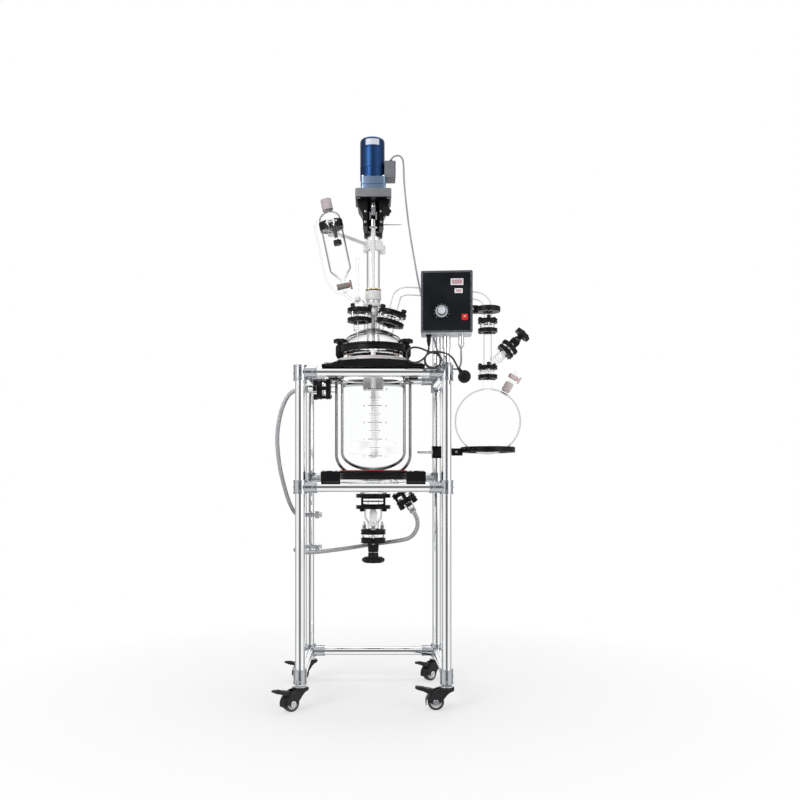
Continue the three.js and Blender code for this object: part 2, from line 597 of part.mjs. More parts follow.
// Motor plate on two tapered cheeks, with a ribbed arm back to the sleeve on the column.
function motorBracket() {
  const half = MOTOR_PLATE_SIZE / 2;
  const cheek = new THREE.Shape();
  cheek.moveTo(-half + 6, MOTOR_PLATE_Z + 1);
  cheek.lineTo(half - 6, MOTOR_PLATE_Z + 1);
  cheek.lineTo(half - 10, MOTOR_PLATE_Z - 26);
  cheek.quadraticCurveTo(half - 24, MOTOR_PLATE_Z - 44, half - 26, MOTOR_PLATE_Z - 60);
  cheek.lineTo(half - 27, BRACKET_FOOT_Z);
  cheek.lineTo(-half + 27, BRACKET_FOOT_Z);
  cheek.lineTo(-half + 26, MOTOR_PLATE_Z - 60);
  cheek.quadraticCurveTo(-half + 24, MOTOR_PLATE_Z - 44, -half + 10, MOTOR_PLATE_Z - 26);
  cheek.closePath();
  const wall = new THREE.ExtrudeGeometry(cheek, { depth: 76, bevelEnabled: false, curveSegments: 2 })
    .rotateX(Math.PI / 2)
    .translate(0, 46, 0);
  const opening = at(block(40, 90, MOTOR_PLATE_Z - BRACKET_FOOT_Z + 10), 0, -16, (MOTOR_PLATE_Z + BRACKET_FOOT_Z) / 2 - 6);
  const plate = at(block(MOTOR_PLATE_SIZE, 116, MOTOR_PLATE_THICK), 0, 0, MOTOR_PLATE_Z + MOTOR_PLATE_THICK / 2);
  const web = at(block(20, HALF_D - 50, 62), 0, HALF_D / 2 + 10, MOTOR_PLATE_Z - 30);
  const deck = at(block(56, HALF_D - 50, 8), 0, HALF_D / 2 + 10, MOTOR_PLATE_Z - 5);
  const sleeve = at(rod(COLUMN_R + 13, COLLAR_LOW_Z + 30, COLUMN_TOP_Z + 6, 16), 0, HALF_D, 0);
  const shaftRoom = rod(16, BRACKET_FOOT_Z - 1, MOTOR_PLATE_Z + 1, 14);
  const spigotRoom = rod(16, MOTOR_PLATE_Z - 2, MOTOR_PLATE_Z + MOTOR_PLATE_THICK + 1, 14);
  const columnRoom = at(rod(COLUMN_R + CLEAR, COLLAR_LOW_Z, COLUMN_TOP_Z + CLEAR, 16), 0, HALF_D, 0);
  const collarRoom = at(rod(COLUMN_R + 10.5, COLLAR_LOW_Z - 2, COLLAR_LOW_Z + 29.6, 12), 0, HALF_D, 0);
  const knobAxis = (geometry) => geometry.rotateX(Math.PI / 2).translate(44, -30, MOTOR_PLATE_Z - 46);
  const knob = knobAxis(starGrip(17, 9, 21, 6));
  const knobStem = knobAxis(rod(7, -4, 10, 8));
  const lever = at(alongX(rod(3.5, 20, 96, 8)), 0, HALF_D - 30, COLLAR_LOW_Z + 40);
  const leverBall = at(new THREE.SphereGeometry(7, 8, 6), 97, HALF_D - 30, COLLAR_LOW_Z + 40);
  const body = cut(join(wall, plate, web, deck, sleeve), opening, shaftRoom, spigotRoom, columnRoom, collarRoom);
  return join(body, knob, knobStem, lever, leverBall);
}

// Gearbox, motor can and terminal box, with the output spigot in the bracket's plate.
function gearMotor() {
  const base = MOTOR_PLATE_Z + MOTOR_PLATE_THICK + CLEAR;
  const gearTop = base + GEARBOX_HEIGHT;
  const top = gearTop + MOTOR_HEIGHT;
  const half = GEARBOX_SIZE / 2;
  const square = new THREE.Shape();
  const corner = 9;
  square.moveTo(-half + corner, -half);
  square.lineTo(half - corner, -half);
  square.lineTo(half, -half + corner);
  square.lineTo(half, half - corner);
  square.lineTo(half - corner, half);
  square.lineTo(-half + corner, half);
  square.lineTo(-half, half - corner);
  square.lineTo(-half, -half + corner);
  square.closePath();
  const gearbox = new THREE.ExtrudeGeometry(square, { depth: GEARBOX_HEIGHT, bevelEnabled: false }).translate(0, 0, base);
  const can = at(turned([
    [0, gearTop - 1], [MOTOR_R, gearTop - 1], [MOTOR_R, top - 8], [MOTOR_R - 6, top], [0, top],
  ], 20), -GEAR_OFFSET / 2, 0, 0);
  const box = at(block(38, 62, 74), MOTOR_R + 15, 0, gearTop + 19);
  const spigot = rod(16 - CLEAR, MOTOR_PLATE_Z + 4, base + 1, 14);
  const shaft = rod(6, COUPLING_TOP_Z + CLEAR, MOTOR_PLATE_Z + 5, 8);
  return join(gearbox, can, box, spigot, shaft);
}

// Column on the rear top rail, with its foot block and the collar under the bracket.
function supportColumn() {
  const foot = at(block(74, 60, 62), 0, 0, REAR_TOP_Z);
  const tube = rod(COLUMN_R, REAR_TOP_Z, COLUMN_TOP_Z, 16);
  const collar = rod(COLUMN_R + 9, COLLAR_LOW_Z, COLLAR_LOW_Z + 29, 16);
  const railRoom = at(alongX(rod(TUBE_R + SOCKET_CLEAR, -60, 60, 10)), 0, 0, REAR_TOP_Z);
  return cut(join(foot, tube, collar), railRoom).translate(0, HALF_D, 0);
}

function drive() {
  piece("shaft_seal", shaftSeal(), ptfe);
  piece("stirrer", stirrer(), ptfe);
  piece("drive_coupling", driveCoupling(), steel);
  piece("motor_bracket", motorBracket(), black);
  piece("gear_motor", gearMotor(), blue);
  piece("support_column", supportColumn(), steel);
}

// ---------------------------------------------------------------- addition funnel
const STOPCOCK_Z = -34; // below the body's base, along its own axis
const PLUG_R = 7;
const THERMOMETER = { x: -52, y: -58, top: 1474, low: 1180 };

// The funnel's own frame: origin at the base of the body, +Z along its axis.
function funnelFrame(parent = root) {
  return placed(FUNNEL_BASE.x, FUNNEL_BASE.y, FUNNEL_BASE.z, -FUNNEL_TILT, 0, parent);
}

function toFunnelFrame(point) {
  const holder = funnelFrame(new THREE.Group());
  holder.updateMatrixWorld(true);
  return holder.worldToLocal(new THREE.Vector3(...point)).toArray();
}

// Body, cone, side arm, stem and the neck adapter with the thermometer well, all glass. It is built in
// the funnel's own frame.
function funnelGlass() {
  const w = 3;
  const top = FUNNEL_LENGTH;
  const outside = [
    [0, STOPCOCK_Z - 22], [5, STOPCOCK_Z - 22], [5, -24], [12, -14],
    ...arc(0, 26, FUNNEL_R, 34, -62, 0, 2), ...arc(FUNNEL_R - 24, top - 24, 24, 24, 0, 70, 2),
    [15, top + 4], [18, top + 10], [18, top + 46], [0, top + 46],
  ];
  const hollow = [
    [0, -10], [7, -10], ...arc(0, 26, FUNNEL_R - w, 34 - w, -56, 0, 2),
    ...arc(FUNNEL_R - 24, top - 24, 24 - w, 24 - w, 0, 66, 2),
    [12, top + 8], [14, top + 20], [14, top + 47], [0, top + 47],
  ];
  const barrel = at(alongX(rod(10, -16, 16, 8)), 0, 0, STOPCOCK_Z);
  const barrelBore = at(alongX(rod(PLUG_R + CLEAR, -17, 17, 8)), 0, 0, STOPCOCK_Z);
  const outlet = rod(2.5, STOPCOCK_Z - 30, 0, 6);
  const out = -FUNNEL_R - 18;
  const arm = swept([[6 - FUNNEL_R, 0, top - 18], [out + 10, 0, top - 21], [out, 0, top - 38], [out, 0, 10],
    [out + 9, 0, -26], [-26, 0, STOPCOCK_Z - 20], [-4, 0, STOPCOCK_Z - 26]], 3.5, 1, 6);

  const joint = toFunnelFrame([LEFT_NECK.x, LEFT_NECK.y, LEFT_NECK.z + CLEAR]);
  const inNeck = (geometry) =>
    geometry.rotateY(rad(FUNNEL_TILT)).translate(joint[0], joint[1], joint[2]);
  const adapter = inNeck(cut(
    turned([[0, 0], [NECK_FLANGE.r, 0], [NECK_FLANGE.r, NECK_FLANGE.thick - CLEAR], [20, NECK_FLANGE.thick - CLEAR],
      [20, 42], [12, 52], [0, 52]], 12),
    turned([[0, -1], [16, -1], [16, 39], [9, 47], [0, 47]], 8),
  ));
  const elbow = toFunnelFrame([LEFT_NECK.x - 8, LEFT_NECK.y, LEFT_NECK.z + 46]);
  const stem = swept([[0, 0, STOPCOCK_Z - 12], [0, 0, STOPCOCK_Z - 30], [elbow[0] * 0.55, elbow[1] * 0.7, elbow[2] + 12],
    elbow], 5, 1, 6);
  const well = inNeck(at(rod(4, -90, THERMOMETER.top - LEFT_NECK.z, 6),
    THERMOMETER.x - LEFT_NECK.x, THERMOMETER.y - LEFT_NECK.y, 0));
  return cut(join(turned(outside, 14), barrel, arm, adapter, stem, well), turned(hollow, 10), barrelBore, outlet);
}

// Tapered PTFE key with its thumb grip, along X, turning in the barrel.
function stopcockPlug(length) {
  const key = alongX(rod(PLUG_R - CLEAR, -length / 2 - 2, length / 2 + 6, 8));
  const grip = at(block(7, 9, 30), length / 2 + 8, 0, 0);
  const nut = alongX(rod(PLUG_R + 4, -length / 2 - 8, -length / 2 - CLEAR, 8));
  return join(key, grip, nut);
}

// Clamp jaws round the funnel, their rod, and the boss that holds it on the column.
const GRIP_AT = 172; // jaws' place along the funnel's axis
function funnelClamp() {
  const holder = funnelFrame(new THREE.Group());
  holder.updateMatrixWorld(true);
  const world = (x, y, z) => holder.localToWorld(new THREE.Vector3(x, y, z)).toArray();
  const jaws = pipe(FUNNEL_R + 7, FUNNEL_R + 2 * CLEAR, GRIP_AT - 13, GRIP_AT + 13, 14);
  const gap = at(block(14, 60, 40), 0, -FUNNEL_R, GRIP_AT);
  const ears = [-12, 12].map((x) => at(block(7, 22, 22), x, -FUNNEL_R - 12, GRIP_AT));
  const band = cut(join(jaws, ...ears), gap).applyMatrix4(holder.matrixWorld);
  const [x0, y0, z0] = world(0, FUNNEL_R + 5, GRIP_AT);
  const boss = at(block(30, 34, 30), x0, y0 + 14, z0);
  const toward = new THREE.Vector3(0, HALF_D, z0);
  const start = new THREE.Vector3(x0, y0 + 14, z0);
  const length = start.distanceTo(toward);
  const arm = rod(6, 0, length - COLUMN_R - 4, 8).applyQuaternion(
    new THREE.Quaternion().setFromUnitVectors(new THREE.Vector3(0, 0, 1), toward.clone().sub(start).normalize()),
  ).translate(start.x, start.y, start.z);
  const column = at(pipe(COLUMN_R + 12, COLUMN_R + 0.8, z0 - 18, z0 + 18, 16), 0, HALF_D, 0);
  return join(band, boss, arm, column);
}

function additionFunnel() {
  piece("addition_funnel", funnelGlass(), glass, funnelFrame());
  const key = placed(0, 0, STOPCOCK_Z, 0, 0, funnelFrame());
  piece("funnel_stopcock", stopcockPlug(32), ptfe, key);
  piece("funnel_clamp", funnelClamp(), black);
}

// ---------------------------------------------------------------- vapour pipe and receiver
const COUPLING_HIGH_Z = 1290;
const COUPLING_LOW_Z = 1122;
const COUPLING = { r: 36, bore: PIPE_R + 1.5, boltRing: 29.5, boltR: 2.5, grip: 7, gripHeight: 10 };
const PIPE_FLANGE = { r: 24, thick: 7 };
const RING_ARM_Z = 1350;
const FLASK_ARM_Z = 832;
const ARM_R = 6;

function vapourPipe() {
  const start = new THREE.Vector3(0, 0, CLEAR);
  const up = new THREE.Vector3(0, 0, 60);
  for (const p of [start, up]) {
    p.applyAxisAngle(new THREE.Vector3(0, 1, 0), rad(RIGHT_NECK.tilt));
    p.add(new THREE.Vector3(RIGHT_NECK.x, RIGHT_NECK.y, RIGHT_NECK.z));
  }
  const route = [
    start.toArray(), up.toArray(), [RIGHT_NECK.x + 22, RIGHT_NECK.y + 1, 1354], [RIGHT_NECK.x + 34, RIGHT_NECK.y + 6, 1365],
    [RIGHT_NECK.x + 52, RIGHT_NECK.y + 15, 1372], [RIGHT_NECK.x + 80, RIGHT_NECK.y + 30, 1375],
    [RECEIVER_X - 72, RECEIVER_Y - 30, 1395], [RECEIVER_X - 42, RECEIVER_Y - 12, 1397], [RECEIVER_X - 20, RECEIVER_Y - 3, 1391],
    [RECEIVER_X - 5, RECEIVER_Y, 1376], [RECEIVER_X, RECEIVER_Y, 1354], [RECEIVER_X, RECEIVER_Y, COUPLING_HIGH_Z + CLEAR],
  ];
  const pipeBody = swept(route, PIPE_R, 1, 10);
  const below = start.clone().add(new THREE.Vector3(-0.3, 0, -1.2)).toArray();
  const bore = swept([below, ...route.slice(1, -1), [RECEIVER_X, RECEIVER_Y, COUPLING_HIGH_Z - 1]], PIPE_R - PIPE_WALL, 1, 8);
  const lip = neckFrame(RIGHT_NECK, rod(NECK_FLANGE.r, CLEAR, NECK_FLANGE.thick, 12));
  const endLip = at(rod(PIPE_FLANGE.r, CLEAR, PIPE_FLANGE.thick, 12), RECEIVER_X, RECEIVER_Y, COUPLING_HIGH_Z);
  return cut(join(pipeBody, lip, endLip), bore);
}

// Angled valve on the receiver's adapter: its axis rises to the right at 45 degrees.
const ANGLED = { x: 447, z: 1164, seat: 62 };
const angledFrame = (parent = root) => placed(ANGLED.x, RECEIVER_Y, ANGLED.z, 45, 0, parent);

function receiverAdapter() {
  const top = COUPLING_HIGH_Z - CLEAR;
  const low = COUPLING_LOW_Z + CLEAR;
  const run = cut(
    join(rod(PIPE_R, low, top, 12), rod(PIPE_FLANGE.r, top - PIPE_FLANGE.thick, top, 12),
      rod(PIPE_FLANGE.r, low, low + PIPE_FLANGE.thick, 12)),
    rod(PIPE_R - PIPE_WALL, low - 1, top + 1, 8),
  ).translate(RECEIVER_X, RECEIVER_Y, 0);
  const holder = angledFrame(new THREE.Group());
  holder.updateMatrixWorld(true);
  const branch = turned([[0, -8], [9, -5], [16, 4], [16, ANGLED.seat - 7], [25, ANGLED.seat - 7], [25, ANGLED.seat], [0, ANGLED.seat]], 12);
  const branchBore = turned([[0, 2], [13, 8], [13, ANGLED.seat + 1], [0, ANGLED.seat + 1]], 8);
  const link = alongX(rod(7, PIPE_R - 5, ANGLED.x - RECEIVER_X, 8)).translate(RECEIVER_X, RECEIVER_Y, ANGLED.z + 8);
  const linkBore = alongX(rod(4, PIPE_R - 6, ANGLED.x - RECEIVER_X + 2, 8)).translate(RECEIVER_X, RECEIVER_Y, ANGLED.z + 8);
  return cut(
    join(run, branch.applyMatrix4(holder.matrixWorld), link),
    branchBore.applyMatrix4(holder.matrixWorld), linkBore,
  );
}

// Flange pair, bonnet and gland of a screw-down glass valve, about +Z from the seat's face, and
// bored for its spindle.
function valveBonnet({ r, bore, boltRing, seatThick, discZ, discThick, bonnetR, bonnetZ, stemR }) {
  const parts = [
    pipe(r, bore, -seatThick - 14, -seatThick - CLEAR, 12),
    rod(r, discZ, discZ + discThick, 12),
    rod(bonnetR, discZ + discThick - 1, bonnetZ, 10),
  ];
  for (let i = 0; i < 3; i++) {
    const a = rad(30 + 120 * i);
    parts.push(at(rod(2.5, -seatThick - 20, discZ + 1, 6), boltRing * Math.cos(a), boltRing * Math.sin(a), 0));
  }
  return cut(join(...parts), rod(stemR + CLEAR, discZ - 1, bonnetZ + 1, 8));
}

function valveSpindle({ gripR, gripZ, gripHeight, stemR, stemLow, plungerR, plungerTop }) {
  const stem = rod(stemR - CLEAR, stemLow + 1, gripZ + 1, 8);
  const plunger = turned([[0, stemLow - 6], [plungerR - 4, stemLow], [plungerR, stemLow + 6], [plungerR, plungerTop], [0, plungerTop]], 10);
  const grip = starGrip(gripR, gripZ, gripZ + gripHeight, 7);
  return join(stem, plunger, grip);
}

function receiver() {
  piece("vapour_pipe", vapourPipe(), glass);
  piece("receiver_adapter", receiverAdapter(), glass);
  const high = placed(RECEIVER_X, RECEIVER_Y, COUPLING_HIGH_Z);
  piece("high_coupling", flangeClamp({ ...COUPLING, low: [7.8, 26], high: [7.8, 29] }), black, high);
  const low = placed(RECEIVER_X, RECEIVER_Y, COUPLING_LOW_Z);
  piece("low_coupling", flangeClamp({ ...COUPLING, bore: FLASK_NECK_R + 1, low: [7.8, 27], high: [7.8, 26] }), black, low);

  const valve = angledFrame();
  const bonnet = placed(0, 0, ANGLED.seat, 0, 0, valve);
  piece("angled_valve_bonnet", valveBonnet({
    r: 34, bore: 17, boltRing: 29, seatThick: 7, discZ: CLEAR, discThick: 14, bonnetR: 17, bonnetZ: 44, stemR: 5,
  }), black, bonnet);
  piece("angled_valve_handwheel", valveSpindle({
    gripR: 30, gripZ: 64, gripHeight: 18, stemR: 5, stemLow: -46, plungerR: 11, plungerTop: -12,
  }), black, bonnet);

  piece("receiving_flask", flaskGlass(), glass).position.set(RECEIVER_X, RECEIVER_Y, FLASK_Z);
  const key = flaskSideNeck(placed(RECEIVER_X, RECEIVER_Y, FLASK_Z));
  piece("flask_stopcock", flaskKey(), glass, key).position.set(0, 0, KEY_OUT);
  piece("flask_ring", flaskRing(), black);
  piece("pipe_ring", pipeRing(), black);
}

const SIDE_NECK_TILT = 24;
const SIDE_NECK_OUT = FLASK_R + 36;
const FLASK_KEY_R = 5;
const KEY_OUT = SIDE_NECK_OUT + 30;
const flaskSideNeck = (parent) => placed(0, 0, 0, SIDE_NECK_TILT + 6, 0, parent);

function flaskGlass() {
  const w = 3.5;
  const ball = (r, steps) => arc(0, 0, r, r, -90, 90, steps);
  const neckTop = COUPLING_LOW_Z - CLEAR - FLASK_Z;
  const ballOutside = turned(ball(FLASK_R, 10), 14);
  const ballInside = turned(ball(FLASK_R - w, 7), 10);
  const neck = join(
    rod(FLASK_NECK_R, FLASK_R - 8, neckTop, 12),
    rod(PIPE_FLANGE.r, neckTop - PIPE_FLANGE.thick, neckTop, 12),
  );
  const neckBore = rod(FLASK_NECK_R - w, FLASK_R - 20, neckTop + 1, 8);
  const tilt = (geometry) => geometry.rotateY(rad(SIDE_NECK_TILT + 6));
  const keyHole = at(alongX(rod(holeRadius(FLASK_KEY_R), -20, 20, 8)), 0, 0, KEY_OUT);
  const side = tilt(cut(join(turned([
    [0, FLASK_R - 6], [13, FLASK_R - 6], [13, SIDE_NECK_OUT - 26], [15.5, SIDE_NECK_OUT - 26], [15.5, SIDE_NECK_OUT + 4],
    [7, SIDE_NECK_OUT + 9], [6, SIDE_NECK_OUT + 52], [0, SIDE_NECK_OUT + 52],
  ], 10), at(alongX(rod(9, -14, 14, 8)), 0, 0, KEY_OUT)), keyHole));
  const sideBore = tilt(rod(3, FLASK_R - 16, SIDE_NECK_OUT + 53, 8));
  return cut(join(ballOutside, neck, side), ballInside, neckBore, sideBore);
}

// Key and grip of the flask's air valve, along X, turning in the barrel on the side neck.
function flaskKey() {
  return join(rod(FLASK_KEY_R, -18, 22, 8), at(block(26, 8, 7), 0, 0, 25)).rotateY(Math.PI / 2);
}

// A boss on the tall post, a rod from it to the right, and a ring under or round the glass.
function postArm(z, ring, rodTo, rodFrom) {
  const post = at(block(34, 40, 44), HALF_W, HALF_D - 6, z);
  const rodBody = at(alongX(rod(ARM_R, rodFrom, rodTo, 8)), 0, RECEIVER_Y, z);
  const hub = at(block(34, 26, 26), HALF_W, RECEIVER_Y + 2, z);
  const body = join(post, hub, rodBody, ring);
  return cut(body, at(rod(TUBE_R + SOCKET_CLEAR, z - 40, z + 40, 14), HALF_W, HALF_D, 0));
}

function flaskRing() {
  const seat = 76;
  const top = FLASK_Z - Math.sqrt(FLASK_R ** 2 - (seat + 1) ** 2) - 1;
  const ring = at(pipe(99, seat, top - 20, top, 16), RECEIVER_X, RECEIVER_Y, 0);
  const boss = at(block(46, 26, 26), RECEIVER_X - 99 - 16, RECEIVER_Y, FLASK_ARM_Z);
  return postArm(FLASK_ARM_Z, join(ring, boss), RECEIVER_X - 99, 160);
}

function pipeRing() {
  const ring = at(pipe(46, PIPE_R + 2.5, RING_ARM_Z - 12, RING_ARM_Z + 12, 12), RECEIVER_X, RECEIVER_Y, 0);
  const boss = at(block(40, 24, 28), RECEIVER_X - 46 - 10, RECEIVER_Y, RING_ARM_Z);
  return postArm(RING_ARM_Z, join(ring, boss), RECEIVER_X - 46, 205);
}

// ---------------------------------------------------------------- bottom discharge valve
const DRAIN_JOINT_Z = DRAIN_Z - CLEAR;
const VALVE_BODY_R = 30;
const VALVE_LOW_Z = 535;

// Glass body under the drain, with its side spout towards the back.
function drainValveBody() {
  const top = DRAIN_JOINT_Z;
  const outside = turned([
    [0, VALVE_LOW_Z], [38, VALVE_LOW_Z], [38, VALVE_LOW_Z + 9], [VALVE_BODY_R, VALVE_LOW_Z + 9],
    [VALVE_BODY_R, top - DRAIN_FLANGE_THICK], [DRAIN_FLANGE_R, top - DRAIN_FLANGE_THICK], [DRAIN_FLANGE_R, top], [0, top],
  ], 18);
  const bore = turned([
    [0, VALVE_LOW_Z - 1], [VALVE_BODY_R - 4, VALVE_LOW_Z - 1], [VALVE_BODY_R - 4, top - 26], [DRAIN_BORE_R, top - 12],
    [DRAIN_BORE_R, top + 1], [0, top + 1],
  ], 14);
  const slope = (geometry) => geometry.rotateX(rad(-125)).translate(0, 0, 612);
  const spout = slope(join(rod(14, 0, 86, 12), rod(19, 78, 86, 12)));
  return cut(join(outside, spout), bore, slope(rod(11, 8, 87, 10)));
}

function drainValve() {
  piece("drain_valve_body", drainValveBody(), glass);
  const joint = placed(0, 0, DRAIN_Z);
  piece("drain_clamp", flangeClamp({
    r: 58, bore: VALVE_BODY_R + 1.5, low: [9.2, 26], high: [9.2, 28], bolts: 4, turn: 45, boltRing: 51, boltR: 4,
    grip: 9, gripHeight: 8,
  }), black, joint);
  const seat = placed(0, 0, VALVE_LOW_Z, 180);
  piece("drain_valve_bonnet", valveBonnet({
    r: 44.5, bore: VALVE_BODY_R + 1.5, boltRing: 41, seatThick: 9, discZ: CLEAR, discThick: 16, bonnetR: 20, bonnetZ: 52, stemR: 7,
  }), black, seat);
  piece("drain_handwheel", valveSpindle({
    gripR: 39, gripZ: 68, gripHeight: 20, stemR: 7, stemLow: -92, plungerR: 16, plungerTop: -40,
  }), black, seat);
}

// ---------------------------------------------------------------- jacket ports
// Clamp, hose adapter and union nut on a port; the joint is on the origin and the port leaves along +Z.
function portClamp(tail) {
  const clamp = flangeClamp({ r: 36, bore: 12.5, low: [7.6, 24], high: [7.6, 26], boltRing: 29, boltR: 3, grip: 8, gripHeight: 14 });
  const adapter = turned([[0, CLEAR], [24, CLEAR], [24, 7], [13, 9], [13, tail - 16], [0, tail - 16]], 12);
  const nut = rod(12, tail - 17, tail, 6);
  return join(clamp, adapter, nut);
}
const INLET_TAIL = 70;
const OUTLET_TAIL = 64;

function jacketPorts() {
  const inlet = placed(-INLET.out, 0, INLET.z, -90);
  piece("jacket_inlet_clamp", portClamp(INLET_TAIL), black, inlet);
  const reach = OUTLET.length;
  const tilt = rad(OUTLET.tilt);
  const outlet = placed(OUTLET.x + reach * Math.sin(tilt), 0, OUTLET.z + reach * Math.cos(tilt), OUTLET.tilt);
  piece("jacket_outlet_clamp", portClamp(OUTLET_TAIL), black, outlet);
}

// ---------------------------------------------------------------- control box
const BOX_KNOB = { x: -16, z: 66 };
const BOX_SWITCH = { x: BOX.width / 2 - 25, z: 48 };

// The box's own frame: origin at the bottom middle of its back, on the pole, front towards -Y.
const boxFrame = (parent = root) => placed(HALF_W, -HALF_D, BOX.z, 0, BOX.yaw, parent);

function controlBox() {
  const { width, height, depth } = BOX;
  const shape = new THREE.Shape();
  const c = 4;
  shape.moveTo(-width / 2 + c, 0);
  shape.lineTo(width / 2 - c, 0);
  shape.lineTo(width / 2, c);
  shape.lineTo(width / 2, height - c);
  shape.lineTo(width / 2 - c, height);
  shape.lineTo(-width / 2 + c, height);
  shape.lineTo(-width / 2, height - c);
  shape.lineTo(-width / 2, c);
  shape.closePath();
  const shell = new THREE.ExtrudeGeometry(shape, { depth, bevelEnabled: false })
    .rotateX(Math.PI / 2)
    .translate(0, depth / 2, 0);
  const recess = at(block(width - 10, 4, height - 10), 0, -depth / 2, height / 2);
  const bezel = at(block(width - 10 - 2 * CLEAR, 1.6, height - 10 - 2 * CLEAR), 0, -depth / 2 + 2.4, height / 2);
  const gland = at(rod(7, -34, 1, 8), -56, -4, 0);
  const socket = at(rod(9, -42, 1, 8), 46, -4, 0);
  const poleRoom = rod(BOX_POLE_R + SOCKET_CLEAR, -1, 40, 12);
  const knobHole = at(alongY(rod(4, -depth, 0, 8)), BOX_KNOB.x, 0, BOX_KNOB.z);
  const switchHole = at(block(15, 20, 15), BOX_SWITCH.x, -depth / 2, BOX_SWITCH.z);
  return cut(join(cut(shell, recess), bezel, gland, socket), poleRoom, knobHole, switchHole);
}

function boxPole() {
  const top = BOX.z + 39;
  const low = FRONT_TOP_Z + SLEEVE_REACH + CLEAR;
  return join(
    rod(BOX_POLE_R, low, top, 12), rod(TUBE_R, low, low + 8, 12), rod(13, BOX.z - 44, BOX.z - CLEAR - 4, 12),
  ).translate(HALF_W, -HALF_D, 0);
}

function controls() {
  piece("control_box", controlBox(), black, boxFrame());
  piece("box_pole", boxPole(), steel);
  const face = -BOX.depth / 2;
  const knob = join(
    turned([[0, 0.6], [18, 0.6], [19, 3], [15, 6], [14, 20], [0, 20]], 16), rod(3.3, -10, 1, 8),
  ).rotateX(Math.PI / 2);
  piece("speed_knob", knob, steel, boxFrame()).position.set(BOX_KNOB.x, face, BOX_KNOB.z);
  const rocker = new THREE.Shape();
  rocker.moveTo(-6.8, -3);
  rocker.lineTo(6.8, -3);
  rocker.lineTo(6.8, 5);
  rocker.lineTo(0, 2.5);
  rocker.lineTo(-6.8, 2.5);
  rocker.closePath();
  const keyShape = new THREE.ExtrudeGeometry(rocker, { depth: 13, bevelEnabled: false }).translate(0, 0, -6.5);
  keyShape.rotateZ(Math.PI).rotateY(Math.PI / 2);
  piece("power_switch", keyShape, red, boxFrame()).position.set(BOX_SWITCH.x, face, BOX_SWITCH.z);
}

// ---------------------------------------------------------------- hoses and cables
// Routes are lists of points chosen by hand. Each end stops just short of the piece it serves.
const INLET_HOSE_END_Z = 604;
const OUTLET_HOSE_END_Z = 489;
const HOSE_END_X = -212;
const HOSE_END_Y = 174;

const INLET_HOSE = [
  [-INLET.out - INLET_TAIL - CLEAR, 0, INLET.z], [-246, 0, INLET.z], [-264, 0, 1038], [-288, 1, 1022], [-309, 3, 985], [-324, 7, 930],
  [-330, 12, 880], [-328, 18, 820], [-320, 26, 760], [-308, 38, 705], [-296, 55, 660], [-284, 82, 627],
  [-275, 114, 610], [-270, 137, 606], [-257, 156.5, INLET_HOSE_END_Z], [-238, 169.5, INLET_HOSE_END_Z],
  [-221, HOSE_END_Y, INLET_HOSE_END_Z], [HOSE_END_X - CLEAR, HOSE_END_Y, INLET_HOSE_END_Z],
];
const OUTLET_HOSE = [
  [138.6, 0, 619], [143.3, 0, 611.5], [151.2, 1, 591], [150, 4, 566], [138.5, 9, 543.5], [121.5, 16, 529.5], [104, 24, 523.5],
  [72, 39, 517], [36, 54, 511], [0, 63, 506], [-60, 64, 496], [-130, 62, 486], [-190, 61, 479], [-222, 62, 477], [-243, 66.5, 477],
  [-261.5, 78.5, 478], [-273.5, 96.5, 480], [-278, 118, 482], [-273.5, 139.5, 484], [-261.5, 157.5, 486], [-243, 170, 488],
  [-222, HOSE_END_Y, OUTLET_HOSE_END_Z], [HOSE_END_X - CLEAR, HOSE_END_Y, OUTLET_HOSE_END_Z],
];
// From the motor's terminal box, down behind the control box and up into its socket.
const MOTOR_CABLE = [
  [60, 0, 1812.8], [60.3, 0, 1821], [65, -1, 1832], [75, -2, 1839], [87, -4, 1839.5], [97, -6, 1832], [102, -8, 1818],
  [103.5, -11, 1798], [105, -26, 1740], [118, -80, 1580], [135, -124, 1450], [146, -142, 1380], [158, -148, 1320],
  [196, -147, 1190], [216, -145, 1136], [230, -146, 1112], [247, -151, 1096], [263, -162, 1088], [274, -180, 1088],
  [279, -198, 1099], [279, -213, 1119], [278.1, -217.2, 1137], [278.1, -217.2, 1147.6],
];
// From the left gland: a loose loop, a few gathered turns, then on past the pole to its plug.
const LEAD_START = [
  [176.4, -210.1, 1155.6], [176.2, -210.8, 1149], [173.5, -219, 1135], [163.5, -233, 1117], [147, -239.5, 1103], [128, -240, 1098],
  [111, -241, 1105], [104, -241, 1122], [111, -241, 1139], [128, -240, 1146], [148, -240, 1143], [168, -240, 1135],
];
const TURNS = { x: 186, y: -240, z: 1104, r: 25, count: 3, pitch: -7, steps: 10 };
const LEAD_END = [
  [208, -261, 1128], [230, -257, 1123], [247, -250, 1112], [256, -244, 1100], [262, -241, 1089], [266.3, -240, 1082.4],
];

function mainsRoute() {
  const turns = [];
  const steps = TURNS.count * TURNS.steps;
  for (let i = 0; i <= steps; i++) {
    const a = rad(90 - (360 * i) / TURNS.steps);
    const y = TURNS.y + (TURNS.pitch * i) / TURNS.steps;
    turns.push([TURNS.x + TURNS.r * Math.cos(a), y, TURNS.z + TURNS.r * Math.sin(a)]);
  }
  return [...LEAD_START, ...turns, ...LEAD_END];
}

function hoseNut() {
  return alongX(join(rod(13, 0, 16, 6), rod(9, 15, 26, 12)));
}

function mainsPlug() {
  const body = turned([[0, -13], [17, -13], [20, -9], [20, 9], [17, 13], [0, 13]], 14).rotateX(Math.PI / 2);
  const neck = turned([[0, 12], [8, 12], [4.5, 34], [0, 34]], 8).rotateY(rad(-35));
  const pin = (x, z) => at(block(6, 18, 2), x, 20, z);
  return join(body, neck, pin(0, 8), pin(-6, -6), pin(6, -6));
}

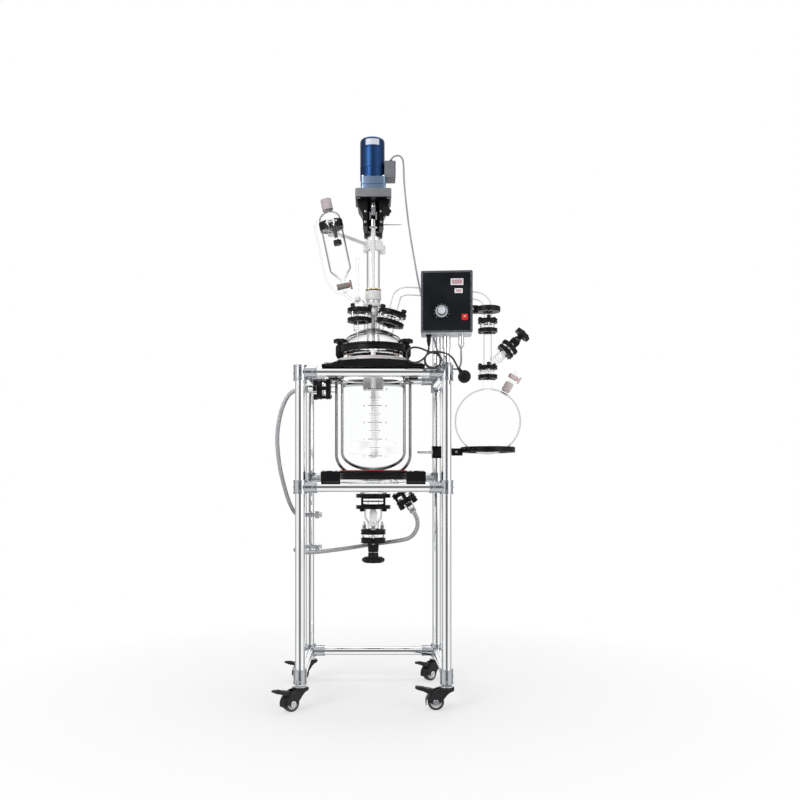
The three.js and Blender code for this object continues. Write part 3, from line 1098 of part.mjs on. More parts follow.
function cords() {
  piece("inlet_hose", swept(INLET_HOSE, HOSE_R, 2), braid);
  piece("outlet_hose", swept(OUTLET_HOSE, HOSE_R, 2), braid);
  piece("inlet_hose_nut", hoseNut(), steel).position.set(HOSE_END_X, HOSE_END_Y, INLET_HOSE_END_Z);
  piece("outlet_hose_nut", hoseNut(), steel).position.set(HOSE_END_X, HOSE_END_Y, OUTLET_HOSE_END_Z);
  piece("motor_cable", swept(MOTOR_CABLE, LEAD_R, 1), grey);
  piece("mains_lead", swept(mainsRoute(), LEAD_R, 1), black);
  piece("mains_plug", mainsPlug(), black).position.set(286, -240, 1054);
}

stand();
castors();
supports();
lidParts();
drive();
additionFunnel();
receiver();
drainValve();
jacketPorts();
controls();
cords();

export default root;
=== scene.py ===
"""Looks of a jacketed glass stirred reactor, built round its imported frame. Lengths are in millimetres
until a piece is made. X is right, Y is back and Z is up, as in the frame."""
import math

import bpy
from mathutils import Matrix, Vector


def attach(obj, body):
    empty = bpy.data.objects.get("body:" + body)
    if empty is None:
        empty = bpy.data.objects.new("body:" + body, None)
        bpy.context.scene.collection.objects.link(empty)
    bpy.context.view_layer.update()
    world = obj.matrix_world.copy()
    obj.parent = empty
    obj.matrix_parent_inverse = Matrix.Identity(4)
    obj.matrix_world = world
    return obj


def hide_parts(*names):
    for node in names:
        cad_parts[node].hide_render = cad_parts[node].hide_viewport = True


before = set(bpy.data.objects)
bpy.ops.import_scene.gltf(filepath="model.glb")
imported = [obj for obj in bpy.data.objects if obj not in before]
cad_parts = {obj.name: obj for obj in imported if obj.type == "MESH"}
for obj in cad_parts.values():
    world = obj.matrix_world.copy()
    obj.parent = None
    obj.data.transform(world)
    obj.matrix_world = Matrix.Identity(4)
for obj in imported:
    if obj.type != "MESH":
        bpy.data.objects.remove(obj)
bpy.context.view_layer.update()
bpy.context.scene.view_settings.view_transform = "Standard"
MM = 0.001
CLEAR = 0.3


def make_camera():
    data = bpy.data.cameras.new("camera")
    data.sensor_width = 36
    data.lens = 37.9
    data.shift_x = 0.0334
    data.shift_y = 0.1025
    camera = bpy.data.objects.new("camera", data)
    camera.location = (0, -2.885, 0.723)
    camera.rotation_euler = (math.pi / 2, 0, 0)
    bpy.context.collection.objects.link(camera)
    bpy.context.scene.camera = camera


make_camera()


# ---------------------------------------------------------------- outlines: lists of points
def polar(r, degrees):
    a = math.radians(degrees)
    return r * math.cos(a), r * math.sin(a)


def circle(count, r, start=0):
    return [polar(r, start + 360 * k / count) for k in range(count)]


def arc(cr, cz, rr, rz, a0, a1, steps):
    turns = [math.radians(a0 + (a1 - a0) * i / steps) for i in range(steps + 1)]
    return [(cr + rr * math.cos(a), cz + rz * math.sin(a)) for a in turns]


def rounded(w, h, r, steps=4):
    """A rounded rectangle's outline about the origin."""
    out = []
    for k, (sx, sy) in enumerate(((1, 1), (-1, 1), (-1, -1), (1, -1))):
        out += arc(sx * (w / 2 - r), sy * (h / 2 - r), r, r, 90 * k, 90 * k + 90, steps)
    return out


def star(r, lobes, depth=0.14, steps=10):
    """The outline of a grip with rounded lobes."""
    waves = [0.5 - 0.5 * math.cos(2 * math.pi * i / steps) for i in range(lobes * steps)]
    return [polar(r * (1 - depth * wave ** 1.4), 360 * i / len(waves)) for i, wave in enumerate(waves)]


def scaled(outline, factor):
    return [(x * factor, y * factor) for x, y in outline]


def counter_clockwise(outline):
    area = sum(a[0] * b[1] - b[0] * a[1] for a, b in zip(outline, outline[1:] + outline[:1]))
    return outline if area > 0 else outline[::-1]


def mirrored(half, total=0):
    """A profile completed with its mirror image, the heights of a point and its image adding up to total."""
    return list(dict.fromkeys(half + [(r, total - z) for r, z in half[::-1]]))


def smooth_path(points, each=6):
    """Centripetal Catmull-Rom curve through the points, with `each` steps between two of them."""
    pts = [Vector(p) for p in points]
    pts = [pts[0] * 2 - pts[1]] + pts + [pts[-1] * 2 - pts[-2]]
    out = []
    for i in range(1, len(pts) - 2):
        p0, p1, p2, p3 = pts[i - 1:i + 3]
        d0, d1, d2 = [math.sqrt((b - a).length) for a, b in ((p0, p1), (p1, p2), (p2, p3))]
        t1 = ((p1 - p0) / d0 - (p2 - p0) / (d0 + d1) + (p2 - p1) / d1) * d1
        t2 = ((p2 - p1) / d1 - (p3 - p1) / (d1 + d2) + (p3 - p2) / d2) * d1
        for k in range(each):
            t = k / each
            out.append(p1 + t1 * t + (p2 * 3 - p1 * 3 - t1 * 2 - t2) * t * t + (p1 * 2 - p2 * 2 + t1 + t2) * t ** 3)
    return out + [pts[-2]]


# ---------------------------------------------------------------- shapes: (vertices, faces)
def lathe(profile, sides=48):
    """Turned about Z from a closed list of (radius, z), in either order, with its faces outwards."""
    verts, rings, faces = [], [], []
    for r, z in counter_clockwise(profile):
        apart = sides if r > 1e-6 else 1
        rings.append([len(verts) + i % apart for i in range(sides)])
        verts += [Vector((*polar(r, 360 * i / sides), z)) for i in range(apart)]
    for low, high in zip(rings, rings[1:] + rings[:1]):
        for i in range(sides):
            j = (i + 1) % sides
            corners = list(dict.fromkeys((low[i], low[j], high[j], high[i])))
            if len(corners) > 2:
                faces.append(corners)
    return verts, faces


def rod(r, z0, z1, sides=32):
    return lathe([(0, z0), (r, z0), (r, z1), (0, z1)], sides)


def pipe(r, bore, z0, z1, sides=48):
    return lathe([(bore, z0), (r, z0), (r, z1), (bore, z1)], sides)


def ring(r, bore, z0, z1, sides=48, edge=0.8, rise=None):
    """A pipe or a rod with its outer edges broken."""
    return lathe(mirrored([(bore, z0), (r - edge, z0), (r, z0 + (rise or edge))], z0 + z1), sides)


def rib(inner, outer, z, height, slope, sides):
    return lathe(mirrored([(inner, z), (outer, z + slope)], 2 * z + height), sides)


def prism(outline, z0, z1):
    """A flat outline of (x, y), in either order, drawn up from z0 to z1."""
    outline = counter_clockwise(outline)
    n = len(outline)
    verts = [Vector((x, y, z)) for z in (z0, z1) for x, y in outline]
    faces = [[i, (i + 1) % n, n + (i + 1) % n, n + i] for i in range(n)]
    return verts, faces + [list(range(n))[::-1], list(range(n, 2 * n))]


def pierced(outer, inner, z0, z1):
    """Drawn up from z0 to z1 between two outlines with the same number of points."""
    n = len(outer)
    verts = [Vector((x, y, z)) for z in (z0, z1) for x, y in outer + inner]
    return verts, bands([(0, 2 * n), (3 * n, n), (n, 0), (2 * n, 3 * n)], n)


def slab(outline, y0, y1):
    """An outline of (x, z) drawn back from y0 to y1."""
    return to_front(prism(outline, -y1, -y0))


def block(w, d, h, x=0, y=0, z=0):
    corners = [(x + sx * w / 2, y + sy * d / 2) for sx, sy in ((-1, -1), (1, -1), (1, 1), (-1, 1))]
    return prism(corners, z - h / 2, z + h / 2)


def split_ring(inner, outer, z0, z1, gap_at, gap_half):
    """A ring with a gap of +-gap_half degrees at the angle gap_at."""
    turns = [gap_at + gap_half + (360 - 2 * gap_half) * i / 60 for i in range(61)]
    return prism([polar(outer, a) for a in turns] + [polar(inner, a) for a in turns[::-1]], z0, z1)


def bands(pairs, sides):
    """Quads between pairs of rings of corners, each ring given by its first index."""
    return [[a + i, a + (i + 1) % sides, b + (i + 1) % sides, b + i] for a, b in pairs for i in range(sides)]


def tube(path, r, sides=16, bore=0):
    """A round tube along a list of points, capped, or bored through with `bore`."""
    n = len(path)
    tangents = [(path[min(i + 1, n - 1)] - path[max(i - 1, 0)]).normalized() for i in range(n)]
    side = tangents[0].orthogonal().normalized()
    across = []
    for t in tangents:
        side = (side - t * side.dot(t)).normalized()
        across.append((side, t.cross(side)))
    verts = [p + u * x + v * y for q in ([r, bore] if bore else [r]) for p, (u, v) in zip(path, across)
             for x, y in circle(sides, q)]
    last, size = (n - 1) * sides, n * sides
    outer = [(k, k + sides) for k in range(0, last, sides)]
    if not bore:
        return verts, bands(outer, sides) + [list(range(sides))[::-1], list(range(last, size))]
    inner = [(size + b, size + a) for a, b in outer]
    return verts, bands(outer + inner + [(size, 0), (last, size + last)], sides)


def hollow(shape):
    """The same shape as the wall of a closed space inside another one."""
    return shape[0], [face[::-1] for face in shape[1]]


def put(shape, matrix):
    return [matrix @ v for v in shape[0]], shape[1]


def at(shape, x, y, z):
    return put(shape, Matrix.Translation((x, y, z)))


def spun(shape, axis, degrees):
    return put(shape, Matrix.Rotation(math.radians(degrees), 4, axis))


def along_x(shape):
    return spun(shape, "Y", 90)


def along_y(shape):
    return spun(shape, "X", -90)


def outline_to_yz(shape):
    """A prism along Z laid along X, so that its outline's x is Y and its outline's y is Z."""
    return [Vector((v.z, v.x, v.y)) for v in shape[0]], shape[1]


def to_front(shape):
    return spun(shape, "X", 90)


def upside_down(shape):
    return spun(shape, "X", 180)


def stand_at(x, y, z, tilt=0, turn=0, roll=0):
    """A frame at a point, rolled about X, tilted about Y and then turned about Z."""
    place = Matrix.Translation((x, y, z))
    for degrees, axis in ((turn, "Z"), (tilt, "Y"), (roll, "X")):
        place = place @ Matrix.Rotation(math.radians(degrees), 4, axis)
    return place


class Piece:
    """Collects shapes and their materials, then becomes one object."""

    def __init__(self, name, place=Matrix.Identity(4)):
        self.name = name
        self.place = place
        self.verts = []
        self.faces = []
        self.marks = []
        self.materials = []

    def add(self, material, *shapes):
        if material not in self.materials:
            self.materials.append(material)
        mark = self.materials.index(material)
        for verts, faces in shapes:
            base = len(self.verts)
            self.verts += [self.place @ v for v in verts]
            self.faces += [[base + i for i in face] for face in faces]
            self.marks += [mark] * len(faces)
        return self

    def repeat(self, points, material, *shapes, z=0):
        for x, y in points:
            self.add(material, *[at(shape, x, y, z) for shape in shapes])

    def done(self, nodes, slot, bevel=0.0, angle=35, body="reactor"):
        mesh = bpy.data.meshes.new(self.name)
        mesh.from_pydata([v * MM for v in self.verts], [], self.faces)
        for material in self.materials:
            mesh.materials.append(material)
        mesh.polygons.foreach_set("material_index", self.marks)
        mesh.shade_smooth()
        mesh.set_sharp_from_angle(angle=math.radians(angle))
        piece = bpy.data.objects.new(self.name, mesh)
        bpy.context.collection.objects.link(piece)
        if bevel:
            edge = piece.modifiers.new("edge", "BEVEL")
            edge.width = bevel * MM
            edge.segments = 2
            edge.limit_method = "ANGLE"
            edge.angle_limit = math.radians(angle)
            edge.harden_normals = True
        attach(piece, body)
        if nodes:
            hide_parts(*nodes)
        return piece


# ---------------------------------------------------------------- materials
class Nodes:
    """Adds nodes to a tree. A value is a constant, or the node or output that feeds the socket."""

    def __init__(self, tree):
        self.tree = tree
        self.coords = self.add("TexCoord").outputs

    def add(self, kind, *values, **named):
        made = self.tree.nodes.new("ShaderNode" + kind)
        for socket, value in zip(made.inputs, values):
            self.feed(socket, value)
        for key, value in named.items():
            if hasattr(made, key):
                setattr(made, key, value)
            else:
                self.feed(made.inputs[key.replace("_", " ")], value)
        return made

    def feed(self, socket, value):
        if isinstance(value, bpy.types.Node):
            value = value.outputs[0]
        if isinstance(value, bpy.types.NodeSocket):
            self.tree.links.new(value, socket)
        else:
            socket.default_value = value

    def rays(self, *kinds):
        """1 for these kinds of ray and 0 for all others."""
        path = self.add("LightPath").outputs
        found = [path[f"Is {kind} Ray"] for kind in kinds]
        while len(found) > 1:
            found[:2] = [self.add("Math", *found[:2], operation="MAXIMUM")]
        return found[0]

    def noise(self, scale, detail=3.0, stretch=(1, 1, 1)):
        mapping = self.add("Mapping", self.coords["Object"], Scale=stretch)
        return self.add("TexNoise", mapping, Scale=scale, Detail=detail)

    def ramp(self, value, low, high, start=0.3, end=0.7):
        return self.add("MapRange", value, start, end, low, high)

    def blend(self, value, first, second, start=0.3, end=0.7):
        made = self.add("ValToRGB", value)
        for stop, place, colour in zip(made.color_ramp.elements, (start, end), (first, second)):
            stop.position, stop.color = place, (*colour, 1)
        return made


class Surface(Nodes):
    """A node material under construction, on object coordinates in metres."""

    def __init__(self, name, **values):
        self.material = bpy.data.materials.new(name)
        self.material.use_nodes = True
        super().__init__(self.material.node_tree)
        self.shader = self.tree.nodes["Principled BSDF"]
        self.set(**values)

    def set(self, **values):
        for key, value in values.items():
            self.feed(self.shader.inputs[key.replace("_", " ")], value)

    def bump(self, height, strength, distance=0.001):
        self.set(Normal=self.add("Bump", Strength=strength, Distance=distance, Height=height))

    def show(self, share, other):
        """Shows another shader for this share of the light; the node's output takes the mix."""
        mix = self.add("MixShader", share, self.shader, other)
        self.feed(self.tree.nodes["Material Output"].inputs["Surface"], mix)


def metal(name, tint, low, high, grain=(1, 1, 1), scale=60):
    """Polished or brushed metal: streaks in roughness along the grain and faint handling marks."""
    s = Surface(name, Metallic=1.0)
    streaks = s.noise(scale, 5, grain)
    cloud = s.blend(s.noise(9, 3), [c * 0.94 for c in tint], tint)
    s.set(Base_Color=cloud, Roughness=s.ramp(streaks, low, high))
    s.bump(streaks, 0.05, 0.0004)
    return s.material


def coat(name, tint, rough, grain=900, strength=0.12, shine=0.5, sheen=0.0):
    """Powder coat or moulded plastic: fine texture, with worn patches a little smoother."""
    s = Surface(name, Specular_IOR_Level=shine, Coat_Weight=sheen, Coat_Roughness=0.15)
    cloud = s.noise(14, 4)
    s.set(Base_Color=s.blend(cloud, [c * 0.8 for c in tint], [min(1.0, c * 1.25) for c in tint]),
          Roughness=s.ramp(cloud, rough - 0.07, rough + 0.08))
    s.bump(s.noise(grain, 2), strength, 0.0003)
    return s.material


def clear_glass(name, ior, start, end, rim, passed=0.985):
    """Clear glass: hardly tinted face on, painted dark where it is seen edge on (a painted shade standing in for the
    dark surroundings it reflects and refracts), and open to the lamps' light.
    """
    s = Surface(name, Transmission_Weight=1.0, IOR=ior, Roughness=0.0)
    facing = s.add("LayerWeight", Blend=0.5).outputs["Facing"]
    # Base colour darkens by the facing angle towards rim at the edges: a painted dark outline, not a tint of the glass.
    s.set(Base_Color=s.blend(facing, (0.994, 0.997, 0.996), (rim, rim, rim * 1.08), start, end))
    s.show(s.rays("Shadow"), s.add("BsdfTransparent", (passed, passed, passed, 1)))
    return s.material


def braided(name):
    """Woven steel sleeve: two sets of crossing wires, laid out along the hose by its UV map."""
    s = Surface(name, Metallic=1.0)
    waves = []
    for turn in (1, -1):
        mapping = s.add("Mapping", s.coords["UV"], Rotation=(0, 0, math.radians(45 * turn)))
        wave = s.add("TexWave", mapping, Scale=1.1, Distortion=0.0, wave_type="BANDS", bands_direction="X")
        waves.append(wave.outputs["Fac"])
    top = s.add("Math", *waves, operation="MAXIMUM")
    s.set(Base_Color=s.blend(top, (0.1, 0.1, 0.11), (0.5, 0.51, 0.53), 0.35, 0.8),
          Roughness=s.ramp(s.noise(90), 0.26, 0.4))
    s.bump(top, 0.6, 0.0006)
    return s.material


steel = metal("polished_tube", (0.92, 0.925, 0.93), 0.06, 0.13, (1, 1, 0.05), 160)
fitting = metal("cast_fitting", (0.5, 0.515, 0.54), 0.14, 0.26, scale=220)
bolt_steel = metal("bolt_steel", (0.72, 0.73, 0.74), 0.15, 0.3, scale=400)
brass = metal("brass_band", (0.62, 0.5, 0.3), 0.2, 0.3)
blue = metal("blue_paint", (0.018, 0.052, 0.145), 0.3, 0.4, scale=260)
# The gearbox's paler blue is the motor's blue paint lightened: a painted reflection of a bright surround on its face.
gearbox_blue_and_painted_reflection = metal("gearbox_paint_with_painted_reflection", (0.2, 0.28, 0.41), 0.3, 0.4, scale=260)
box_trim = metal("brushed_trim", (0.3, 0.31, 0.34), 0.2, 0.34, scale=300)
braid = braided("steel_braid")
black = coat("black_coat", (0.006, 0.006, 0.007), 0.36, 700, 0.1, 0.16)
plastic = coat("black_grip", (0.007, 0.007, 0.008), 0.4, 1200, 0.08, 0.2)
housing = coat("castor_housing", (0.012, 0.012, 0.014), 0.42, 900, 0.1, 0.3)
tyre = coat("castor_tyre", (0.03, 0.03, 0.032), 0.55, 1500, 0.08)
hub_grey = coat("castor_hub", (0.78, 0.79, 0.8), 0.4, 900, 0.05)
# Partly the casting's own pale tone, partly painted light: the colour is lifted towards white to offset the shade it
# lies in under the collar and vessel.
cast_white_and_painted_light = coat("cast_tone_lifted_by_painted_light", (0.86, 0.87, 0.88), 0.45, 700, 0.06)
key_grey = coat("stopcock_key", (0.2, 0.17, 0.155), 0.4, 500, 0.05)
bare_plate = coat("bare_plate", (0.62, 0.64, 0.7), 0.35, 500, 0.04)
plate_grey = coat("plate_enamel", (0.2, 0.205, 0.215), 0.4, 700, 0.08)
dark_paint = coat("terminal_box", (0.15, 0.155, 0.17), 0.4, 600, 0.1, 0.3)
ptfe = coat("white_ptfe", (0.8, 0.8, 0.79), 0.42, 500, 0.04)
seal = coat("red_seal", (0.5, 0.05, 0.03), 0.5, 700, 0.08)
seal_dark = coat("joint_seal", (0.03, 0.03, 0.03), 0.5, 700, 0.05)
grey_sheath = coat("grey_sheath", (0.3, 0.31, 0.33), 0.5, 900, 0.08)
black_sheath = coat("black_sheath", (0.02, 0.02, 0.02), 0.45, 900, 0.06)
red_key = coat("red_switch", (0.7, 0.02, 0.015), 0.25, 300, 0.02, sheen=0.4)
pink_lens = coat("switch_lens", (0.85, 0.42, 0.42), 0.3, 300, 0.0)
marks = coat("white_marks", (0.86, 0.87, 0.88), 0.5, 300, 0.02)
dark_marks = coat("printed_marks", (0.08, 0.08, 0.09), 0.5, 300, 0.02)
scale_print = coat("scale_print", (0.06, 0.05, 0.08), 0.5, 300, 0.02)
panel = coat("panel_face", (0.007, 0.008, 0.011), 0.3, 1400, 0.03, 0.2)
box_grey = coat("box_enamel", (0.5, 0.51, 0.54), 0.38, 900, 0.1, sheen=0.2)
window_glass = coat("display_window", (0.42, 0.34, 0.38), 0.3, 300, 0.0)
ground_glass = coat("ground_glass", (0.4, 0.35, 0.36), 0.6, 900, 0.1)
# A lighter copy of the ground glass above: painted light to offset the shade that the flask's joint and key sit in.
ground_glass_with_painted_light = coat("ground_glass_lightened_by_painted_light", (0.62, 0.53, 0.53), 0.6, 900, 0.1)
jacket_glass = clear_glass("jacket_glass", 1.03, 0.67, 0.78, 0.0)
glass = clear_glass("clear_glass", 1.08, 0.45, 0.78, 0.02)
flask_glass = clear_glass("flask_glass_walls", 1.04, 0.72, 0.9, 0.06)
digit_red = (0.55, 0.1, 0.08, 1)
digits = Surface("display_digits", Base_Color=digit_red, Emission_Color=digit_red, Emission_Strength=0.3,
                 Roughness=0.3).material


# ---------------------------------------------------------------- stand
HALF_W, HALF_D = 232.5, 210
TUBE = 16
POST_FOOT = 83
SIDE_RAILS = (104, 707, 1072)
FRONT_RAILS = {"front_top_rail": 1072, "front_mid_rail": 707}
REAR_RAILS = {"rear_top_rail": 1097, "rear_mid_rail": 735, "rear_low_rail": 104}
SLEEVES = ((-HALF_D, POST_FOOT, 130), (HALF_D, POST_FOOT, 130), (-HALF_D, 685, 729), (-HALF_D, 1044, 1093.7),
           (HALF_D, 685, 757), (HALF_D, 1050, 1119))


def socket_ring(r, inner, z0, z1):
    """A fitting's ring with a raised bead at each mouth."""
    return lathe(mirrored([(inner, z0), (r - 0.6, z0), (r, z0 + 0.8), (r, z0 + 5.2), (r - 1, z0 + 6.2)], z0 + z1), 56)


def grub_screw(out):
    """A socket screw's head at this height, facing +Z, with its hexagon sunk."""
    head = [(0, -2), (3.6, -2), (3.6, 0.6), (3.1, 1.1), (1.9, 1.1), (1.9, 0.0), (0, 0.0)]
    return at(lathe(head, 20), 0, 0, out)


def hex_bolt(r=6, height=4.5):
    return lathe([(0, 0), (r, 0), (r, height - 0.8), (r - 0.9, height), (0, height)], 6)


def side_frame(name, side, rear_top):
    piece = Piece(f"{name}_frame_tubes", stand_at(side * HALF_W, 0, 0))
    for y, top in ((-HALF_D, 1094), (HALF_D, rear_top)):
        cap = lathe([(0, -1), (TUBE - 0.3, -1), (TUBE - 0.3, -0.4), (TUBE - 3, -0.1), (0, -0.1)], 40)
        piece.add(steel, at(rod(TUBE, POST_FOOT, top, 56), 0, y, 0)).add(plastic, at(cap, 0, y, top))
    for z in SIDE_RAILS:
        piece.add(steel, at(along_y(rod(TUBE, -HALF_D, HALF_D, 56)), 0, 0, z))
        for end in (-1, 1):
            piece.add(fitting, at(along_y(pipe(17.3, 15.5, -11, 11)), 0, end * (HALF_D - 23), z))
    for y, z0, z1 in SLEEVES:
        screw = grub_screw(21.2)
        piece.add(fitting, at(socket_ring(22, 15.5, z0, z1), 0, y, 0))
        piece.add(bolt_steel, at(to_front(screw), 0, y, z0 + 9), at(spun(screw, "Y", 90 * side), 0, y, (z0 + z1) / 2))
    for y, rails in ((-HALF_D, FRONT_RAILS), (HALF_D, REAR_RAILS)):
        for z in rails.values():
            screw = grub_screw(19.2)
            piece.add(fitting, at(along_x(socket_ring(20, 16.1, -22.5, 22.5)), -side * 32.5, y, z))
            piece.add(bolt_steel, *[at(shape, -side * 40, y, z) for shape in (screw, to_front(screw))])
    piece.done([f"{name}_side_frame"], "stainless", angle=30)


side_frame("left", -1, 1119.3)
side_frame("right", 1, 1386)
for rail_y, cross_rails in ((-HALF_D, FRONT_RAILS), (HALF_D, REAR_RAILS)):
    for rail, rail_z in cross_rails.items():
        rail_tube = along_x(pipe(TUBE, 14, 20 - HALF_W, HALF_W - 20, 56))
        Piece(rail + "_tube").add(steel, at(rail_tube, 0, rail_y, rail_z)).done([rail], "stainless", angle=30)

TRAIL = 34
WHEEL = 26


def castor(name, x, y, yaw):
    here = stand_at(x, y, 0, turn=yaw)
    fork = Piece(f"castor_body_{name}", here)
    fork.add(housing, lathe([(0, 63), (22, 63), (25, 65), (25, 73), (23, 75), (0, 75)]))
    fork.add(bolt_steel, lathe([(0, 74), (24, 74), (24, 76), (15, 77.6), (0, 77.6)]), rod(12.9, 77, 117, 40),
             rod(15.8, 77.5, 81.5, 6))
    fork.place = here @ stand_at(-TRAIL, 0, 0)
    cheek = [(58, 70), (42, 72), (4, 68), (-10, 62)] + arc(0, WHEEL + 4, 26, 24, 120, 190, 6)
    cheek += [(-17, 24), (-8, 19), (0, 17.5), (8, 19), (20, 30), (36, 50), (44, 57), (56, 62)]
    hood = [polar(33, a) for a in range(60, 196, 9)]
    pedal = [(-8, 66), (-40, 72), (-60, 74.5), (-65, 73), (-66, 69), (-58, 65), (-40, 60), (-24, 52), (-8, 56)]
    fork.add(housing, slab(cheek, -15.7, -11.7), slab(cheek, 11.7, 15.7), slab(pedal, -11, 11),
             at(slab(hood + scaled(hood, 0.92)[::-1], -15.6, 15.6), 0, 0, WHEEL),
             *[block(2, 20, 1.6, -42 - 4.5 * k, 0, 73.2 + 0.3 * k) for k in range(5)])
    for side in (-1, 1):
        fork.add(bolt_steel, at(spun(pipe(9.5, 5, 0, 1.2, 32), "X", -90 * side), 0, side * 15.7, WHEEL))
    fork.done([f"castor_fork_{name}"], "castor_housing", 0.8, 40, "castor_" + name)

    wheel = Piece(f"castor_roller_{name}", here @ stand_at(-TRAIL, 0, WHEEL))
    tread = [(17.5, -9.2)] + arc(WHEEL - 3.5, -7, 3.5, 3.5, -90, 0, 5)
    hub = [(0, -8.6), (5, -10.2), (9, -10.2), (10, -7), (15, -7), (16.5, -9.9), (18, -9.9)]
    wheel.add(tyre, along_y(lathe(mirrored(tread), 64)))
    wheel.add(hub_grey, along_y(lathe(mirrored(hub))))
    wheel.add(bolt_steel, along_y(ring(3.7, 0, -17.6, 17.6, 20, 0.7)))
    wheel.done([f"castor_wheel_{name}"], "castor_tyre", 0.3, body="wheel_" + name)


castor("front_left", -HALF_W, -HALF_D, 38)
castor("front_right", HALF_W, -HALF_D, 0)
castor("rear_left", -HALF_W, HALF_D, 32)
castor("rear_right", HALF_W, HALF_D, 40)


# ---------------------------------------------------------------- supports
def collar():
    piece = Piece("collar_casting")
    z0, top = 1113.3, 1139
    apron = [(-163, 1096), (-163, 1088.3), (163, 1088.3), (163, 1096), (130, 1096.6), (108, 1108.6), (-108, 1108.6),
             (-130, 1096.6)]
    wing = [(224, z0), (224, z0 + 12), (-50, z0 + 12), (-120, 1096.2), (-200, 1096.2), (-200, 1088.4), (-124, 1088.4),
            (-54, z0)]
    seat = [(96, z0 + 11.5), (125, z0 + 11.5), (125.5, top - 8), (124, top - 7), (124, top - 5), (125.5, top - 4),
            (125.5, top - 1.5), (124, top), (98, top), (96, top - 1.5)]
    line = [(120, z0 + 12), (126.4, z0 + 12), (126.8, z0 + 12.6), (126.4, z0 + 13.6), (120, z0 + 13.6)]
    flange = [(96, 0), (149, 0), (150, 1.5), (150, 10.5), (148, 12), (96, 12)]
    piece.add(black, at(lathe(flange, 96), 0, 0, z0), slab(apron, -HALF_D - 16, -HALF_D + 16),
              block(190, 90, 9, 0, -150, 1109.3))
    piece.add(ptfe, lathe(seat, 96)).add(seal, lathe(line, 96))
    for side in (-1, 1):
        piece.add(black, at(outline_to_yz(prism(wing, -17, 17)), side * 148, 0, 0),
                  block(38, 96, 8, side * 139, 0, z0 + 6))
        piece.add(bolt_steel, at(hex_bolt(7, 5), side * 148, HALF_D, z0 + 12),
                  at(hex_bolt(5, 3.4), side * 153, -HALF_D, 1096))
    piece.repeat(circle(8, 137, 22.5), bolt_steel, hex_bolt(4.5, 3.2), z=z0 + 12.6)
    piece.done(["collar_plate"], "clamp_black", 0.8)


def lower_ring():
    piece = Piece("lower_ring_casting")
    top, z0 = 723.3, 751.3
    casting = [(106, -19), (107, -20), (113, -20), (114.5, -18.5), (118, -2), (127, 0), (128, 1), (128, 7), (127, 8),
               (106, 8)]
    piece.add(black, at(lathe(casting, 96), 0, 0, z0))
    for side in (-1, 1):
        piece.add(black, block(32, 414, 8, side * 148, 17, z0 + 4),
                  block(61, 34, z0 + 4.6 - top, side * 135.5, -HALF_D, (z0 + 4.6 + top) / 2))
        for y, z in ((-HALF_D, z0 + 4.6), (HALF_D, z0 + 8)):
            piece.repeat([(side * 135.5 - 18, y), (side * 135.5 + 18, y)], bolt_steel, hex_bolt(6, 4), z=z)
    piece.done(["lower_support"], "clamp_black", 0.8)


collar()
lower_ring()
Piece("lower_pad_ring").add(seal, ring(116, 106, 759.6, 762.6, 96, 0.5, 0.6)).done(["lower_pad"], "seal_red")
Piece("rim_gasket_ring").add(seal, ring(104, 96, 1139.3, 1142.7, 96, 0.4, 0.5)).done(["rim_gasket"], "seal_red")


# ---------------------------------------------------------------- vessel and lid
def clamp_ring(r, bore, z0, z1, lip=1.2):
    """A moulded clamp half: rounded rims and a waist."""
    mid = 0.22 * (z1 - z0)
    half = [(bore, z0 + 0.6), (bore + 0.6, z0), (r - lip, z0), (r, z0 + lip), (r, z0 + mid), (r - 1.6, z0 + mid + 1.2)]
    return lathe(mirrored(half, z0 + z1), 72)


def grip_head(r, z0, z1, lobes=6):
    """A star knob's head with a domed cap."""
    outline = star(r, lobes, 0.2)
    cap = lathe([(0, z1 - 0.2), (r * 0.42, z1 - 0.2), (r * 0.36, z1 + 0.9), (0, z1 + 1.2)], 24)
    return [prism(outline, z0, z1 - 1.2), prism(scaled(outline, 0.94), z1 - 1.2, z1), cap]


def flange_clamp(name, place, node, r, bore, low, high, bolt_ring, bolt, grip, grip_height, turn=30):
    """Two clamp halves, each from its inner to its outer height, and three bolts with star grips."""
    piece = Piece(name, place)
    piece.add(black, clamp_ring(r, bore, *high), clamp_ring(r, bore, -low[1], -low[0]))
    bolts = circle(3, bolt_ring, turn)
    piece.repeat(bolts, bolt_steel, rod(bolt, -low[1] + 0.5, high[1] + 2, 20))
    piece.repeat(bolts, bolt_steel, hex_bolt(bolt * 1.75, 3.2), z=high[1] - 1.4)
    piece.repeat(bolts, plastic, *grip_head(grip, high[1] + 1.2, high[1] + grip_height, 4),
                 pipe(bolt * 2.1, bolt, -low[1] - 2.5, -low[1] + 1.5, 24))
    piece.done([node], "clamp_black", 0.5)


BORE, WALL, JACKET = 106, 5, 131
JACKET_TOP, BOWL_Z, BOWL_DEPTH = 1080, 824, 58
JACKET_BOWL_Z, JACKET_BOWL_DEPTH = 815, 88
NECK, NECK_Z, RIM, RIM_Z, FLANGE = 92, 1106, 104, 1143, 10
DRAIN_R, DRAIN_BORE, DRAIN_FLANGE, DRAIN_Z = 24, 18, 41, 657
INLET_Z, INLET_OUT = 1041, 168
OUTLET = stand_at(78, 0, 716, 148)


def port(neck, top):
    """A jacket port, with the outline of its neck and the height of its flange's face."""
    return lathe([(8, -38), (11, -38), *neck, (24, top - 0.8), (23.2, top), (8, top)])


